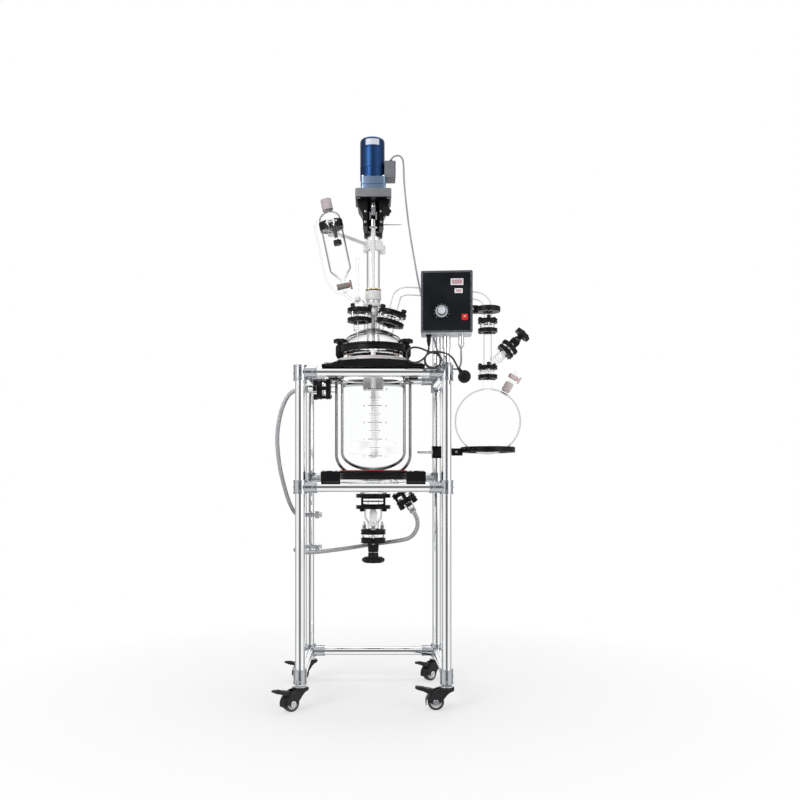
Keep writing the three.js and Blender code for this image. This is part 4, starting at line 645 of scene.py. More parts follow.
def vessel():
    inner, space_r = BORE + WALL, JACKET - WALL
    flange = [(-1, 0), (0, 1), (0, 7.2), (-1, 8.2)]
    outside = [(DRAIN_FLANGE + r, DRAIN_Z + z) for r, z in flange]
    outside += [(DRAIN_R + 4, DRAIN_Z + 8.2), (DRAIN_R, DRAIN_Z + 12.2), (DRAIN_R, 728), (DRAIN_R + 3, 730.5)]
    outside += arc(0, JACKET_BOWL_Z, JACKET, JACKET_BOWL_DEPTH, -74, 0, 22)
    outside += arc(JACKET - 22, JACKET_TOP - 18, 22, 18, 0, 84, 10)
    outside += [(inner + 1, JACKET_TOP + 1), (inner, JACKET_TOP + 3), (inner, NECK_Z - 12), (inner - 3, NECK_Z - 5),
                (NECK + 4, NECK_Z + 1), (NECK, NECK_Z + 7), (NECK, RIM_Z - 3), (NECK + 3, RIM_Z), (RIM - 1, RIM_Z),
                (RIM, RIM_Z + 1), (RIM, RIM_Z + FLANGE - 1), (RIM - 1, RIM_Z + FLANGE)]
    bore = [(DRAIN_BORE, DRAIN_Z), (DRAIN_BORE, 764), (DRAIN_BORE + 3, 767)]
    bore += arc(0, BOWL_Z, BORE, BOWL_DEPTH, -76, 0, 22)
    bore += [(BORE, NECK_Z - 18), (BORE - 3, NECK_Z - 11), (NECK - WALL + 4, NECK_Z - 6), (NECK - WALL, NECK_Z),
             (NECK - WALL, RIM_Z + FLANGE)]
    space = [(DRAIN_R + 4, 737)] + arc(0, JACKET_BOWL_Z, space_r, JACKET_BOWL_DEPTH - WALL, -72, 0, 22)
    space += arc(space_r - 16, JACKET_TOP - WALL - 13, 16, 13, 0, 84, 8)
    space += [(inner + 1, JACKET_TOP - WALL), (inner, JACKET_TOP - WALL - 2)]
    space += arc(0, BOWL_Z, inner, BOWL_DEPTH + WALL, 0, -73, 22) + [(DRAIN_R + 4, 763)]
    piece = Piece("vessel_glass")
    piece.add(jacket_glass, lathe(outside + bore[::-1], 128), hollow(lathe(space, 128)))
    inlet = port([(11, -14), (13, -8), (22, -6), (24, -5)], 0)
    outlet = port([(11, 30), (13, 36), (22, 43), (24, 44.5)], 50)
    piece.add(glass, at(spun(inlet, "Y", -90), -INLET_OUT, 0, INLET_Z), put(outlet, OUTLET))
    piece.done(["reactor_vessel"], "clear_glass", angle=40)


LID_Z = RIM_Z + FLANGE + CLEAR
LID_R, LID_SHOULDER, LID_CROWN = 94, 1206, 1248
CENTRE_NECK, CENTRE_NECK_Z = 21, 1320
LEFT_NECK = stand_at(-46, -50, 1283)
RIGHT_NECK = stand_at(60, -34, 1276, 15)


def dome(drop, r):
    """The lid's shoulder and its rise to the centre neck, this far inside the outer skin."""
    points = arc(r - 24, LID_SHOULDER - drop, 24, 18, 0, 62, 10)
    x0, z0 = points[-1]
    x1, z1 = CENTRE_NECK + 14 - drop, LID_CROWN - 6 - drop
    for k in range(1, 7):
        t = k / 7
        points.append((x0 + (x1 - x0) * t, z0 + (z1 - z0) * t + 2.2 * math.sin(math.pi * t)))
    return points + [(x1, z1), (x1 - 8, z1 + 2.2)]


def lid():
    rim = [(RIM - 1, 0), (RIM, 1), (RIM, FLANGE - 1), (RIM - 1, FLANGE), (LID_R + 3, FLANGE), (LID_R, FLANGE + 3)]
    lip = [(0, -12), (3, -9), (8, -7), (9, -6), (9, -1), (8, 0)]
    outside = [(r, LID_Z + z) for r, z in rim] + dome(0, LID_R) + [(CENTRE_NECK, LID_CROWN + 4)]
    outside += [(CENTRE_NECK + r, CENTRE_NECK_Z + z) for r, z in lip]
    inside = [(NECK - WALL, LID_Z), (NECK - WALL, LID_Z + FLANGE), (LID_R - WALL, LID_Z + FLANGE + 8)]
    inside += dome(WALL, LID_R - WALL) + [(CENTRE_NECK - 4, LID_CROWN + 2), (CENTRE_NECK - 4, CENTRE_NECK_Z)]
    side_neck = lathe([(16.5, -50), (20, -50), (20, -14), (22, -9), (27, -7.5), (29, -6.4), (29, -0.8), (28.2, 0),
                       (16.5, 0)], 56)
    piece = Piece("lid_glass")
    piece.add(glass, lathe(outside + inside[::-1], 128), put(side_neck, LEFT_NECK), put(side_neck, RIGHT_NECK))
    piece.done(["vessel_lid"], "clear_glass", angle=40)


def lid_clamp():
    low = LID_Z + FLANGE + CLEAR
    high = low + 24
    band = [(LID_R + 1.5, low), (112.5, low), (114, low + 1.5), (114, low + 7), (112.6, low + 8.5)]
    lug = [(0, low - 20), (8, low - 20), (9, low - 19), (16, low - 8), (16, high - 4), (14.5, high - 2), (12, high),
           (0, high)]
    stem = [(0, -1), (15, -1), (15, 2), (10.5, 3.5), (10.5, 12), (0, 12)]
    piece = Piece("lid_clamp").add(black, lathe(mirrored(band, low + high), 112))
    piece.repeat([(-113, 0), (113, 0)], black, lathe(lug, 40), at(lathe(stem, 40), 0, 0, high))
    piece.repeat([(-113, 0), (113, 0)], plastic, *grip_head(23, high + 11, high + 24))
    piece.repeat([(-111, 0), (111, 0)], bolt_steel, rod(4, 1139.3, low, 20), at(hex_bolt(8, 4), 0, 0, 1139.3))
    piece.repeat(circle(6, 105, 30), bolt_steel, hex_bolt(5, 3), z=high)
    piece.done(["lid_clamp_band"], "clamp_black", 0.5)


vessel()
lid()
lid_clamp()
flange_clamp("left_clamp", LEFT_NECK, "left_neck_clamp", 42, 21, (9.4, 22.4), (9.4, 23.4), 35.5, 3, 7, 12, -10)
flange_clamp("right_clamp", RIGHT_NECK, "right_neck_clamp", 49, 21, (9.4, 22.4), (9.4, 23.4), 42, 3, 9, 12, 90)


# ---------------------------------------------------------------- stirrer and drive
SEAL_Z = CENTRE_NECK_Z + CLEAR


def seal_housing():
    piece = Piece("stirrer_seal", stand_at(0, 0, SEAL_Z))
    body = [(8.3, -30), (15.5, -30), (16.7, -28), (16.7, 0), (29.2, 0), (30, 0.8), (30, 9), (29, 10), (23, 12),
            (22, 13), (22, 24), (26.4, 24.6), (27, 25.4), (27, 49.2), (26.2, 50), (8.6, 50)]
    cap = star(26, 16, 0.07, 6)
    piece.add(ptfe, lathe(body, 72), prism(cap, 50.2, 65), lathe([(8.8, 65), (22, 65), (21, 66), (8.8, 66)]))
    piece.add(ptfe, *[rib(26.6, 27.6, 28 + 4.4 * k, 2.2, 0.4, 72) for k in range(5)])
    piece.add(brass, prism(scaled(cap, 1.01), 58.4, 62)).add(black, prism(scaled(cap, 1.005), 55, 58.6))
    piece.add(bolt_steel, rib(22.6, 23.6, 16, 4, 0.4, 64))
    piece.done(["shaft_seal"], "white_ptfe", 0.3)


def agitator():
    blade = [(-83, 822), (83, 822), (76, 854)] + arc(60, 854, 16, 8, 0, 90, 6) + arc(-60, 854, 16, 8, 90, 180, 6)
    hub = [(0, 806), (10, 807), (12, 810), (12, 870), (10.5, 873), (0, 874)]
    shaft = [(0, 812), (8, 812), (8, 1592.5), (7, 1594), (0, 1594)]
    bead = lathe([(0, 0), (4.2, 0), (3.6, 1.1), (0, 1.4)], 24)
    piece = Piece("paddle_and_shaft").add(ptfe, slab(blade, -3.5, 3.5), lathe(hub, 40), lathe(shaft, 40))
    for side in (-1, 1):
        piece.repeat([(-42, side * 3.6), (42, side * 3.6)], ptfe, spun(bead, "X", -90 * side), z=838)
    piece.done(["stirrer"], "white_ptfe", 0.8, body="agitator")


def coupling():
    low, top = 1594, 1678
    middle = (low + top) / 2 + 4
    piece = Piece("universal_coupling").add(bolt_steel, block(13, 13, 13, 0, 0, middle))
    for z0, z1 in ((low + 0.3, middle - 20), (middle + 20, top)):
        piece.add(bolt_steel, ring(14, 0, z0, z1), at(to_front(grub_screw(13)), 0, 0, (z0 + z1) / 2))
    for side in (-1, 1):
        piece.add(bolt_steel, block(5, 14, 28, side * 10.5, 0, middle - 8),
                  block(14, 5, 28, 0, side * 10.5, middle + 8))
    pin = along_x(ring(4, 0, -13.6, 13.6, 24))
    piece.add(bolt_steel, at(pin, 0, 0, middle), at(spun(pin, "Z", 90), 0, 0, middle))
    piece.done(["drive_coupling"], "stainless", 0.5, body="agitator")


PLATE_Z, PLATE_THICK, PLATE = 1682, 28, 122
COLUMN, COLUMN_TOP, COLLAR_LOW = 25, 1700, 1620


def bracket():
    half = PLATE / 2
    piece = Piece("bracket_casting")
    bend = [(half - 10, PLATE_Z - 26), (half - 24, PLATE_Z - 44), (half - 26, PLATE_Z - 60)]
    side = [(half - 6, PLATE_Z + 1), bend[0]]
    for k in range(1, 9):
        t = k / 8
        side.append(tuple((1 - t) ** 2 * p + 2 * t * (1 - t) * q + t * t * r for p, q, r in zip(*bend)))
    side += [(half - 27, 1590), (20, 1590), (20, PLATE_Z + 1)]
    sleeve = [(25.3, 1650), (37, 1650), (38, 1651), (38, COLUMN_TOP + 5), (37, COLUMN_TOP + 6), (0, COLUMN_TOP + 6),
              (0, COLUMN_TOP + 0.4), (25.3, COLUMN_TOP + 0.4)]
    # The thin black sheet from PLATE_Z - 2 to PLATE_Z + 0.5, just inside the grey plate's edge, is a painted shadow
    # line under the plate.
    piece.add(black, slab(side, -30, 46), slab([(-x, z) for x, z in side], -30, 46),
              slab([(-22, 1590), (22, 1590), (22, PLATE_Z + 1), (-22, PLATE_Z + 1)], 30, 46),
              prism(rounded(PLATE - 6, 110, 6), PLATE_Z - 2, PLATE_Z + 0.5), block(20, 160, 62, 0, 115, PLATE_Z - 30),
              block(56, 160, 8, 0, 115, PLATE_Z - 5), at(lathe(sleeve, 64), 0, HALF_D, 0))
    piece.add(plate_grey, prism(rounded(PLATE, 116, 6), PLATE_Z, PLATE_Z + PLATE_THICK))
    corners = [(x, y) for x in (12 - half, half - 12) for y in (-46, 46)]
    piece.repeat(corners, bolt_steel, hex_bolt(6, 4.4), z=PLATE_Z + PLATE_THICK)
    piece.repeat(corners, bolt_steel, upside_down(hex_bolt(6, 4)), z=PLATE_Z)
    for z in (1604, 1640):
        piece.repeat([(-27, -30), (27, -30)], bolt_steel, to_front(hex_bolt(4.6, 3)), z=z)
    piece.place = stand_at(44, -30, PLATE_Z - 46, roll=90)
    piece.add(bolt_steel, rod(7, -4, 10)).add(plastic, *grip_head(17, 9, 20))
    piece.place = stand_at(0, HALF_D - 30, COLLAR_LOW + 40, 90)
    piece.add(bolt_steel, lathe([(0, 20), (4.2, 20), (3.2, 30), (2.4, 96), (1.6, 103), (0, 104)], 24))
    piece.done(["motor_bracket"], "clamp_black", 1.2)


def motor():
    base = PLATE_Z + PLATE_THICK + CLEAR
    gearbox, height = 46, 183
    outline = rounded(85, 85, 9)
    piece = Piece("gear_motor_case", stand_at(0, 0, base))
    # The gearbox takes the lightened blue, a painted reflection on the same paint as the can.
    piece.add(gearbox_blue_and_painted_reflection, prism(outline, 0, 17), prism(scaled(outline, 0.955), 17, 20), prism(outline, 20, gearbox))
    piece.repeat([(x, y) for x in (-35, 35) for y in (-35, 35)], bolt_steel, rod(3, gearbox, gearbox + 3, 24),
                 at(lathe([(0, 0), (5, 0), (5, 4), (2.6, 4), (2.6, 2), (0, 2)], 24), 0, 0, gearbox))
    piece.place = stand_at(-3, 0, base)
    can = [(0, 46), (42, 46), (42, 55), (40.6, 56), (40.6, 80), (42, 81), (42, 146), (41, 147), (41, 149.5),
           (42, 150.5), (42, 174), (40, 179), (36, 182.4), (30, height), (0, height)]
    turns = [-90 + 33 * (i / 10 - 1) for i in range(21)]
    plate = [polar(42.4, a) for a in turns] + [polar(41.6, a) for a in turns[::-1]]
    vent, fin = block(7, 1.2, 1.2), block(1.5, 1.6, 23, 41.2, 0, gearbox + 22)
    piece.add(blue, lathe(can, 96)).add(bare_plate, prism(plate, height - 30, height - 10))
    piece.add(blue, *[spun(fin, "Z", 45 + 300 * k / 21) for k in range(22)])
    piece.add(dark_paint, *[at(spun(vent, "Z", 22.5 * k), *polar(31, 22.5 * k), height - 0.2) for k in range(16)])
    piece.place = stand_at(60, 0, base + gearbox + 28)
    cover = spun(along_x(prism(rounded(62, 56, 4), 0, 2.4)), "X", 90)
    piece.add(dark_paint, at(slab(rounded(38, 56, 4), -31, 31), -3, 0, 0), at(cover, 13.4, 0, 0))
    screw = along_x(lathe([(0, 0), (2.6, 0), (2.2, 0.9), (0, 1.1)], 20))
    piece.add(bolt_steel, *[at(screw, 15.2, y, z) for y in (-26, 26) for z in (-23, 23)])
    piece.add(plastic, at(lathe([(3.4, 0), (7.5, 0), (7.5, 4), (5.5, 8), (4.4, 14), (3.2, 14)], 24), 0, 0, 28))
    piece.place = stand_at(0, 0, PLATE_Z)
    piece.add(bolt_steel, rod(15.7, 4, PLATE_THICK + CLEAR + 1, 40), rod(6, -3.7, 5))
    piece.done(["gear_motor"], "motor_blue", 0.7)


def bored_block(w, d, h, bore, steps=40):
    """A block bored along X, centred on the origin."""
    outer = []
    for c, s in circle(steps, 1, 45):
        reach = 1 / max(abs(c) / (d / 2), abs(s) / (h / 2))
        outer.append((c * reach, s * reach))
    return outline_to_yz(pierced(outer, circle(steps, bore, 45), -w / 2, w / 2))


def column():
    piece = Piece("column_tube", stand_at(0, HALF_D, 0))
    piece.add(steel, rod(COLUMN, 1127, COLUMN_TOP, 72))
    piece.add(black, ring(34, 24.6, COLLAR_LOW, COLLAR_LOW + 29, 64, 1))
    piece.add(bolt_steel, at(to_front(grub_screw(33.4)), 0, 0, COLLAR_LOW + 14))
    # The foot block under the collar takes the lifted pale casting, painted light against the collar's shade.
    piece.add(cast_white_and_painted_light, at(bored_block(74, 60, 62, 16.6), 0, 0, 1097))
    piece.repeat([(x, y) for x in (-29, 29) for y in (-22, 22)], bolt_steel, hex_bolt(5, 3.4), z=1128)
    piece.done(["support_column"], "stainless", 0.8)


seal_housing()
agitator()
coupling()
bracket()
motor()
column()


# ---------------------------------------------------------------- dosing funnel
FUNNEL = stand_at(-106, -40, 1418, -12)
FUNNEL_R, FUNNEL_TOP, STOPCOCK_Z = 37, 218, -34
GRIP_AT = 172
ELBOW = (-54, -50, 1329)


def funnel():
    wall, shoulder = 2.6, FUNNEL_R - 24
    piece = Piece("funnel_glass", FUNNEL)
    outside = [(5, STOPCOCK_Z - 22), (5, -26), (6.5, -20), (9, -12), (33.5, 17.5), (36, 21.5), (FUNNEL_R, 27)]
    outside += arc(shoulder, FUNNEL_TOP - 24, 24, 24, 0, 76, 10)
    outside += [(r, FUNNEL_TOP + z) for r, z in ((15, 3), (15.5, 7), (18, 10), (18, 44.6), (17.2, 46))]
    inside = [(2.5, STOPCOCK_Z - 22), (2.5, -20), (5.6, -11), (31.2, 18.6), (33.6, 22.6), (FUNNEL_R - wall, 28)]
    inside += arc(shoulder, FUNNEL_TOP - 24, 24 - wall, 24 - wall, 0, 74, 10)
    inside += [(12.4, FUNNEL_TOP + 5), (14.4, FUNNEL_TOP + 12), (14.4, FUNNEL_TOP + 46)]
    sleeve = [(14.2, 12), (18.3, 10), (18.3, 45.2), (17.6, 46.2), (14.2, 46.2)]
    barrel = [(7.3, -16), (9.4, -16), (10, -15), (9.4, 0)]
    piece.add(glass, lathe(outside + inside[::-1], 80))
    piece.add(ground_glass, at(lathe(sleeve, 56), 0, 0, FUNNEL_TOP))
    piece.add(key_grey, at(along_x(lathe(mirrored(barrel), 40)), 0, 0, STOPCOCK_Z))
    out = -FUNNEL_R - 18
    arm = [(6 - FUNNEL_R, 200), (out + 16, 199.5), (out + 5, 194), (out, 180), (out, 100), (out, 10), (out + 4, -14),
           (out + 14, -34), (-26, STOPCOCK_Z - 20), (-4, STOPCOCK_Z - 26)]
    elbow = FUNNEL.inverted() @ Vector(ELBOW)
    stem = [(0, 0, STOPCOCK_Z - 12), (0, 0, STOPCOCK_Z - 30), (elbow.x * 0.55, elbow.y * 0.7, elbow.z + 12), elbow]
    piece.add(glass, tube(smooth_path([(x, 0, z) for x, z in arm], 8), 3.5, 20, 2.2),
              tube(smooth_path(stem, 10), 5, 24, 3))
    piece.place = LEFT_NECK
    adapter = [(15, CLEAR), (28.2, CLEAR), (29, 1.1), (29, 6), (27.6, 7), (22, 8), (20, 11), (20, 40), (17, 46),
               (12, 51), (9.4, 52.4), (9.4, 48.6), (13, 45), (16, 39), (16, 12), (15, 8)]
    well = [(0, -90)] + arc(0, -86, 4, 4, -80, 0, 5)
    well += [(4, 188), (5.6, 189), (5.6, 191), (2.6, 191), (2.6, -80), (0, -82)]
    bung = [(4.2, 47), (9.2, 47), (9.6, 53), (9, 60), (4.2, 61)]
    piece.add(glass, lathe(adapter, 56), at(lathe(well, 28), -6, -8, 0))
    piece.repeat([(-6, -8)], ptfe, lathe(bung, 32), rod(1.6, -78, 186, 16))
    piece.done(["addition_funnel"], "clear_glass", angle=40)


def stopcock_key():
    piece = Piece("funnel_key", FUNNEL @ stand_at(0, 0, STOPCOCK_Z, 90))
    piece.add(key_grey, lathe([(0, -18), (6.2, -18), (6.7, -17), (6.7, 21), (6.2, 22), (0, 22)], 40),
              at(along_x(prism(rounded(7, 9, 2.4), -15, 15)), 0, 0, 24),
              lathe([(0, -24), (10.4, -24), (11, -23.2), (11, -17), (10.4, -16.3), (0, -16.3)], 6))
    piece.add(seal, pipe(9.4, 6.8, 16.4, 17.8, 32))
    piece.done(["funnel_stopcock"], "white_ptfe", 0.4, body="funnel_key")


def funnel_holder():
    front = -FUNNEL_R
    piece = Piece("funnel_clamp_arm", FUNNEL)
    axis, screw = [(0, 0)], [(8, front - 12)]
    piece.repeat(axis, cast_white_and_painted_light, split_ring(FUNNEL_R + 0.8, FUNNEL_R + 4, -12, 12, -90, 11), z=GRIP_AT)
    for middle in (-130, -52):
        jaw = split_ring(FUNNEL_R + 0.9, FUNNEL_R + 7, -13, 13, middle + 180, 155)
        piece.repeat(axis, black, jaw, z=GRIP_AT)
    piece.repeat(screw, bolt_steel, rod(3, -62, -8, 24), z=GRIP_AT)
    piece.repeat(screw, seal_dark, lathe([(3, -56), (6, -55), (6, -16), (3, -14)], 6), z=GRIP_AT)
    piece.repeat(screw, plastic, *grip_head(14, -80, -64, 5), z=GRIP_AT)
    piece.repeat([(-11, front - 10), (11, front - 10)], bolt_steel, prism(rounded(5, 20, 2), -9, 9), z=GRIP_AT)
    piece.repeat([(0, front - 15)], bolt_steel, along_x(rod(2.6, -18, 22, 20)), z=GRIP_AT)
    piece.repeat(axis, ptfe, split_ring(FUNNEL_R + 0.2, FUNNEL_R + 1, -11, 11, -90, 14), z=GRIP_AT)
    hold = FUNNEL @ Vector((0, FUNNEL_R + 5, GRIP_AT))
    start = hold + Vector((0, 14, 0))
    run = Vector((0, HALF_D, hold.z)) - start
    reach, run = run.length, run.normalized()
    path = [start + run * s for s in (0, 60, 120, reach - COLUMN - 4)]
    piece.place = Matrix.Identity(4)
    piece.add(cast_white_and_painted_light, at(prism(rounded(30, 34, 5), -15, 15), *start), tube(path, 6, 28))
    for side in (-1, 1):
        bolt = spun(hex_bolt(4.4, 3), "Y", 90 * side)
        piece.add(bolt_steel, at(bolt, start.x + 15 * side, start.y, start.z))
    piece.place = stand_at(0, HALF_D, hold.z)
    turn = math.degrees(math.atan2(run.x, -run.y))
    piece.add(cast_white_and_painted_light, ring(37, 25.8, -18, 18, 64, 1), spun(block(30, 26, 30, 0, -44, 0), "Z", turn))
    piece.done(["funnel_clamp"], "clamp_black", 0.7)


funnel()
stopcock_key()
funnel_holder()


# ---------------------------------------------------------------- vapour pipe and receiver
RX, RY = 416, 178
HIGH_Z, LOW_JOINT_Z = 1290, 1122
FLASK_Z, FLASK_R, FLASK_NECK = 943, 120, 18
PIPE, PIPE_WALL = 15, 2.5
SIDE_NECK = stand_at(RX, RY, FLASK_Z, 30)
SIDE_OUT, KEY_OUT = 156, 186
ANGLED = stand_at(447, RY, 1164, 45)
ANGLED_SEAT = ANGLED @ stand_at(0, 0, 62)


def vapour_line():
    rise = [RIGHT_NECK @ Vector((0, 0, z)) for z in (CLEAR, 60)]
    route = rise + [(82, -33, 1354), (94, -28, 1365), (112, -19, 1372), (140, -4, 1375), (RX - 72, RY - 30, 1395),
                    (RX - 42, RY - 12, 1397), (RX - 20, RY - 3, 1391), (RX - 5, RY, 1376), (RX, RY, 1354),
                    (RX, RY, HIGH_Z + CLEAR)]
    piece = Piece("vapour_pipe_glass")
    piece.add(glass, tube(smooth_path(route, 7), PIPE - 0.2, 40, PIPE - PIPE_WALL),
              put(ring(29, 15, CLEAR, 7), RIGHT_NECK), at(ring(24, 14.6, HIGH_Z + CLEAR, HIGH_Z + 7), RX, RY, 0))
    piece.done(["vapour_pipe"], "clear_glass", angle=40)


def adapter():
    low, top = LOW_JOINT_Z + CLEAR, HIGH_Z - CLEAR
    bore = PIPE - PIPE_WALL
    half = [(bore, 0), (23.2, 0), (24, 0.8), (24, 6), (22, 7), (PIPE + 2, 9), (PIPE, 13)]
    branch = [(0, -8), (5, -7.4), (9, -5), (14, 0), (16, 5), (16, 50), (18, 54), (24, 56), (25, 57), (25, 61.2),
              (24.2, 62), (13, 62), (13, 8), (8, 3), (0, 1)]
    piece = Piece("receiver_adapter_glass")
    piece.add(glass, at(lathe(mirrored(half, top - low), 64), RX, RY, low), put(lathe(branch, 56), ANGLED),
              at(along_x(pipe(7, 4, 10, 24, 32)), RX, RY, 1172))
    piece.done(["receiver_adapter"], "clear_glass", angle=40)


def angled_valve():
    """The clamped bonnet, then the spindle that turns in it, both from the seat outwards."""
    disc, neck, bonnet_top, stem, wheel, plunger = 14.3, 17, 44, 5, 64, 11
    bonnet = Piece("angled_bonnet", ANGLED_SEAT)
    body = [(stem + 0.6, CLEAR), (32.8, CLEAR), (34, 1.5), (34, disc - 1.2), (32.8, disc), (neck + 6, disc),
            (neck, disc + 5), (neck, bonnet_top - 2), (neck - 1.5, bonnet_top), (stem + 0.6, bonnet_top)]
    heights = [disc + (bonnet_top - disc) * share for share in (0.4, 0.55, 0.7)]
    bonnet.add(black, clamp_ring(34, 17, -21, -7 - CLEAR), lathe(body, 72),
               *[rib(neck - 0.5, neck + 1.2, z, 3, 0.8, 56) for z in heights])
    bolts = circle(3, 29, 30)
    bonnet.repeat(bolts, bolt_steel, rod(2.4, -27, disc + 1, 20))
    bonnet.repeat(bolts, bolt_steel, hex_bolt(4.6, 3.4), z=disc)
    bonnet.repeat(bolts, bolt_steel, upside_down(hex_bolt(4.6, 3.4)), z=-21)
    bonnet.add(seal, pipe(neck + 3.4, neck + 0.2, disc + 1.6, disc + 3.2, 56))
    bonnet.done(["angled_valve_bonnet"], "clamp_black", 0.4)

    spindle = Piece("angled_handwheel", ANGLED_SEAT)
    spindle.add(bolt_steel, rod(stem - 0.4, -12, wheel + 1, 36),
                lathe([(12, 44.4), (13.8, 44.9), (13.8, 46), (12, 46.4)], 40))
    for k in range(4):
        z = 53 + 2.2 * k
        spindle.add(bolt_steel, lathe([(stem - 0.6, z), (stem + 0.3, z + 0.9), (stem - 0.6, z + 1.8)], 28))
    tip = [(0, -52), (plunger - 5, -51), (plunger - 4, -49), (plunger, -40), (plunger, -34), (plunger - 1.4, -33),
           (plunger - 1.4, -30), (plunger, -29), (plunger, -12), (0, -12)]
    sleeve = [(stem, 45), (12.5, 45), (13.5, 47), (13, 51), (9.4, 55), (9.4, wheel - 5), (12, wheel - 4),
              (13.8, wheel + 1), (stem, wheel + 1)]
    spindle.add(ptfe, lathe(tip)).add(plastic, lathe(sleeve, 40), *grip_head(30, wheel, wheel + 16.8, 7))
    spindle.done(["angled_valve_handwheel"], "grip_black", 0.6, body="angled_screw")


def flask():
    wall, top, neck = 3.2, LOW_JOINT_Z - CLEAR - FLASK_Z, FLASK_NECK
    outside = arc(0, 0, FLASK_R, FLASK_R, -90, 80.2, 60) + [(neck + 0.8, 121), (neck, 125), (neck, top - 11)]
    outside += [(neck + 2, top - 8), (22, top - 7), (24, top - 6), (24, top - 0.8), (23.2, top), (neck - wall, top)]
    inside = arc(0, 0, FLASK_R - wall, FLASK_R - wall, -90, 82, 60) + [(neck - wall + 0.4, 118), (neck - wall, 123)]
    piece = Piece("flask_glass", Matrix.Translation((RX, RY, FLASK_Z)))
    piece.add(flask_glass, lathe(outside + inside[::-1], 112))
    piece.place = SIDE_NECK
    side_neck = [(3, 118), (15, 118), (13, 122)]
    side_neck += [(r, SIDE_OUT + z) for r, z in ((13, -28), (15.5, -25), (15.5, 3), (13, 6), (8, 9), (6.6, 14), (6, 20),
                                                 (6, 51), (5, 52), (3, 52))]
    sleeve = [(12.8, -30), (13.2, -29), (15.8, -25), (15.8, 3), (12.8, 5)]
    barrel = mirrored([(5.6, -14), (8.4, -14), (9, -13), (8.4, 0)])
    piece.add(glass, lathe(side_neck))
    # The flask's ground joint and key barrel take the lighter copy of ground glass, painted light.
    piece.add(ground_glass_with_painted_light, at(lathe(sleeve), 0, 0, SIDE_OUT), at(along_x(lathe(barrel, 36)), 0, 0, KEY_OUT))
    piece.done(["receiving_flask"], "clear_glass", angle=40)


def flask_key():
    piece = Piece("air_valve_key", SIDE_NECK @ stand_at(0, 0, KEY_OUT, 90))
    piece.add(ground_glass_with_painted_light, lathe([(0, -18), (4.6, -18), (5, -17), (5, 20), (4, 22), (0, 22)], 32),
              at(slab(rounded(26, 7, 3), -4, 4), 0, 0, 25))
    piece.add(seal, pipe(7.6, 5.1, 14.3, 16, 28), pipe(7.6, 5.1, -17, -14.4, 28))
    piece.done(["flask_stopcock"], "clear_glass", angle=40, body="flask_key")


def split_block(w, h, bore):
    """A clamp block round an upright tube at its back, open towards +Y less than half way."""
    curve = [(x, y + 6) for x, y in (polar(bore, 56 - 292 * i / 40) for i in range(41))]
    return prism([(-w / 2, -20), (w / 2, -20), (w / 2, 20)] + curve + [(-w / 2, 20)], -h / 2, h / 2)


def post_arm(name, node, z, support, boss, boss_at, rod_from, rod_to):
    """A support on a rod with a boss, held by a split clamp on the rear right post at height z."""
    piece = Piece(name).add(black, at(support, RX, RY, 0))
    piece.place = stand_at(HALF_W, 0, z)
    piece.add(black, at(split_block(34, 44, TUBE + 0.6), 0, HALF_D - 6, 0),
              at(prism(rounded(34, 26, 4), -13, 13), 0, RY + 2, 0))
    screw = hex_bolt(4.6, 3.2)
    for side in (-1, 1):
        for dz in (-14, 14):
            piece.add(bolt_steel, at(spun(screw, "Y", 90 * side), 17 * side, HALF_D - 20, dz))
    piece.place = stand_at(0, RY, z)
    arm = lathe([(0, rod_from), (5, rod_from), (6, rod_from + 1), (6, rod_to), (0, rod_to)], 32)
    piece.add(bolt_steel, along_x(arm), at(to_front(screw), boss_at, -13, 0)).add(black, at(boss, boss_at, 0, 0))
    piece.done([node], "clamp_black", 0.9)


vapour_line()
adapter()
COUPLING_BOLTS = (29.5, 2.5, 7, 10)
flange_clamp("high_joint_clamp", stand_at(RX, RY, HIGH_Z), "high_coupling", 36, PIPE + 1.5, (9.6, 23.4), (9.6, 25),
             *COUPLING_BOLTS)
flange_clamp("low_joint_clamp", stand_at(RX, RY, LOW_JOINT_Z), "low_coupling", 36, FLASK_NECK + 1, (9.6, 24),
             (9.6, 23.6), *COUPLING_BOLTS)
angled_valve()
flask()
flask_key()
SEAT = 76
RING_TOP = FLASK_Z - math.sqrt(FLASK_R ** 2 - (SEAT + 1) ** 2) - 1
flask_seat = lathe([(SEAT, -19), (SEAT + 1, -20), (98, -20), (99, -19), (99, -2), (97, 0), (SEAT + 1.4, 0),
                    (SEAT, -1.4)], 96)
post_arm("flask_support", "flask_ring", 832, at(flask_seat, 0, 0, RING_TOP), prism(rounded(46, 26, 4), -13, 13),
         RX - 115, 160, RX - 99)
post_arm("pipe_support", "pipe_ring", 1350, ring(46, 17.5, 1341, 1359, 72, 1.4), prism(rounded(40, 24, 4), -14, 14),
         RX - 56, 205, RX - 46)


# ---------------------------------------------------------------- bottom discharge valve
VALVE_TOP, VALVE_LOW, VALVE_BORE = 656.7, 535, 15
VALVE = stand_at(0, 0, VALVE_LOW, 180)


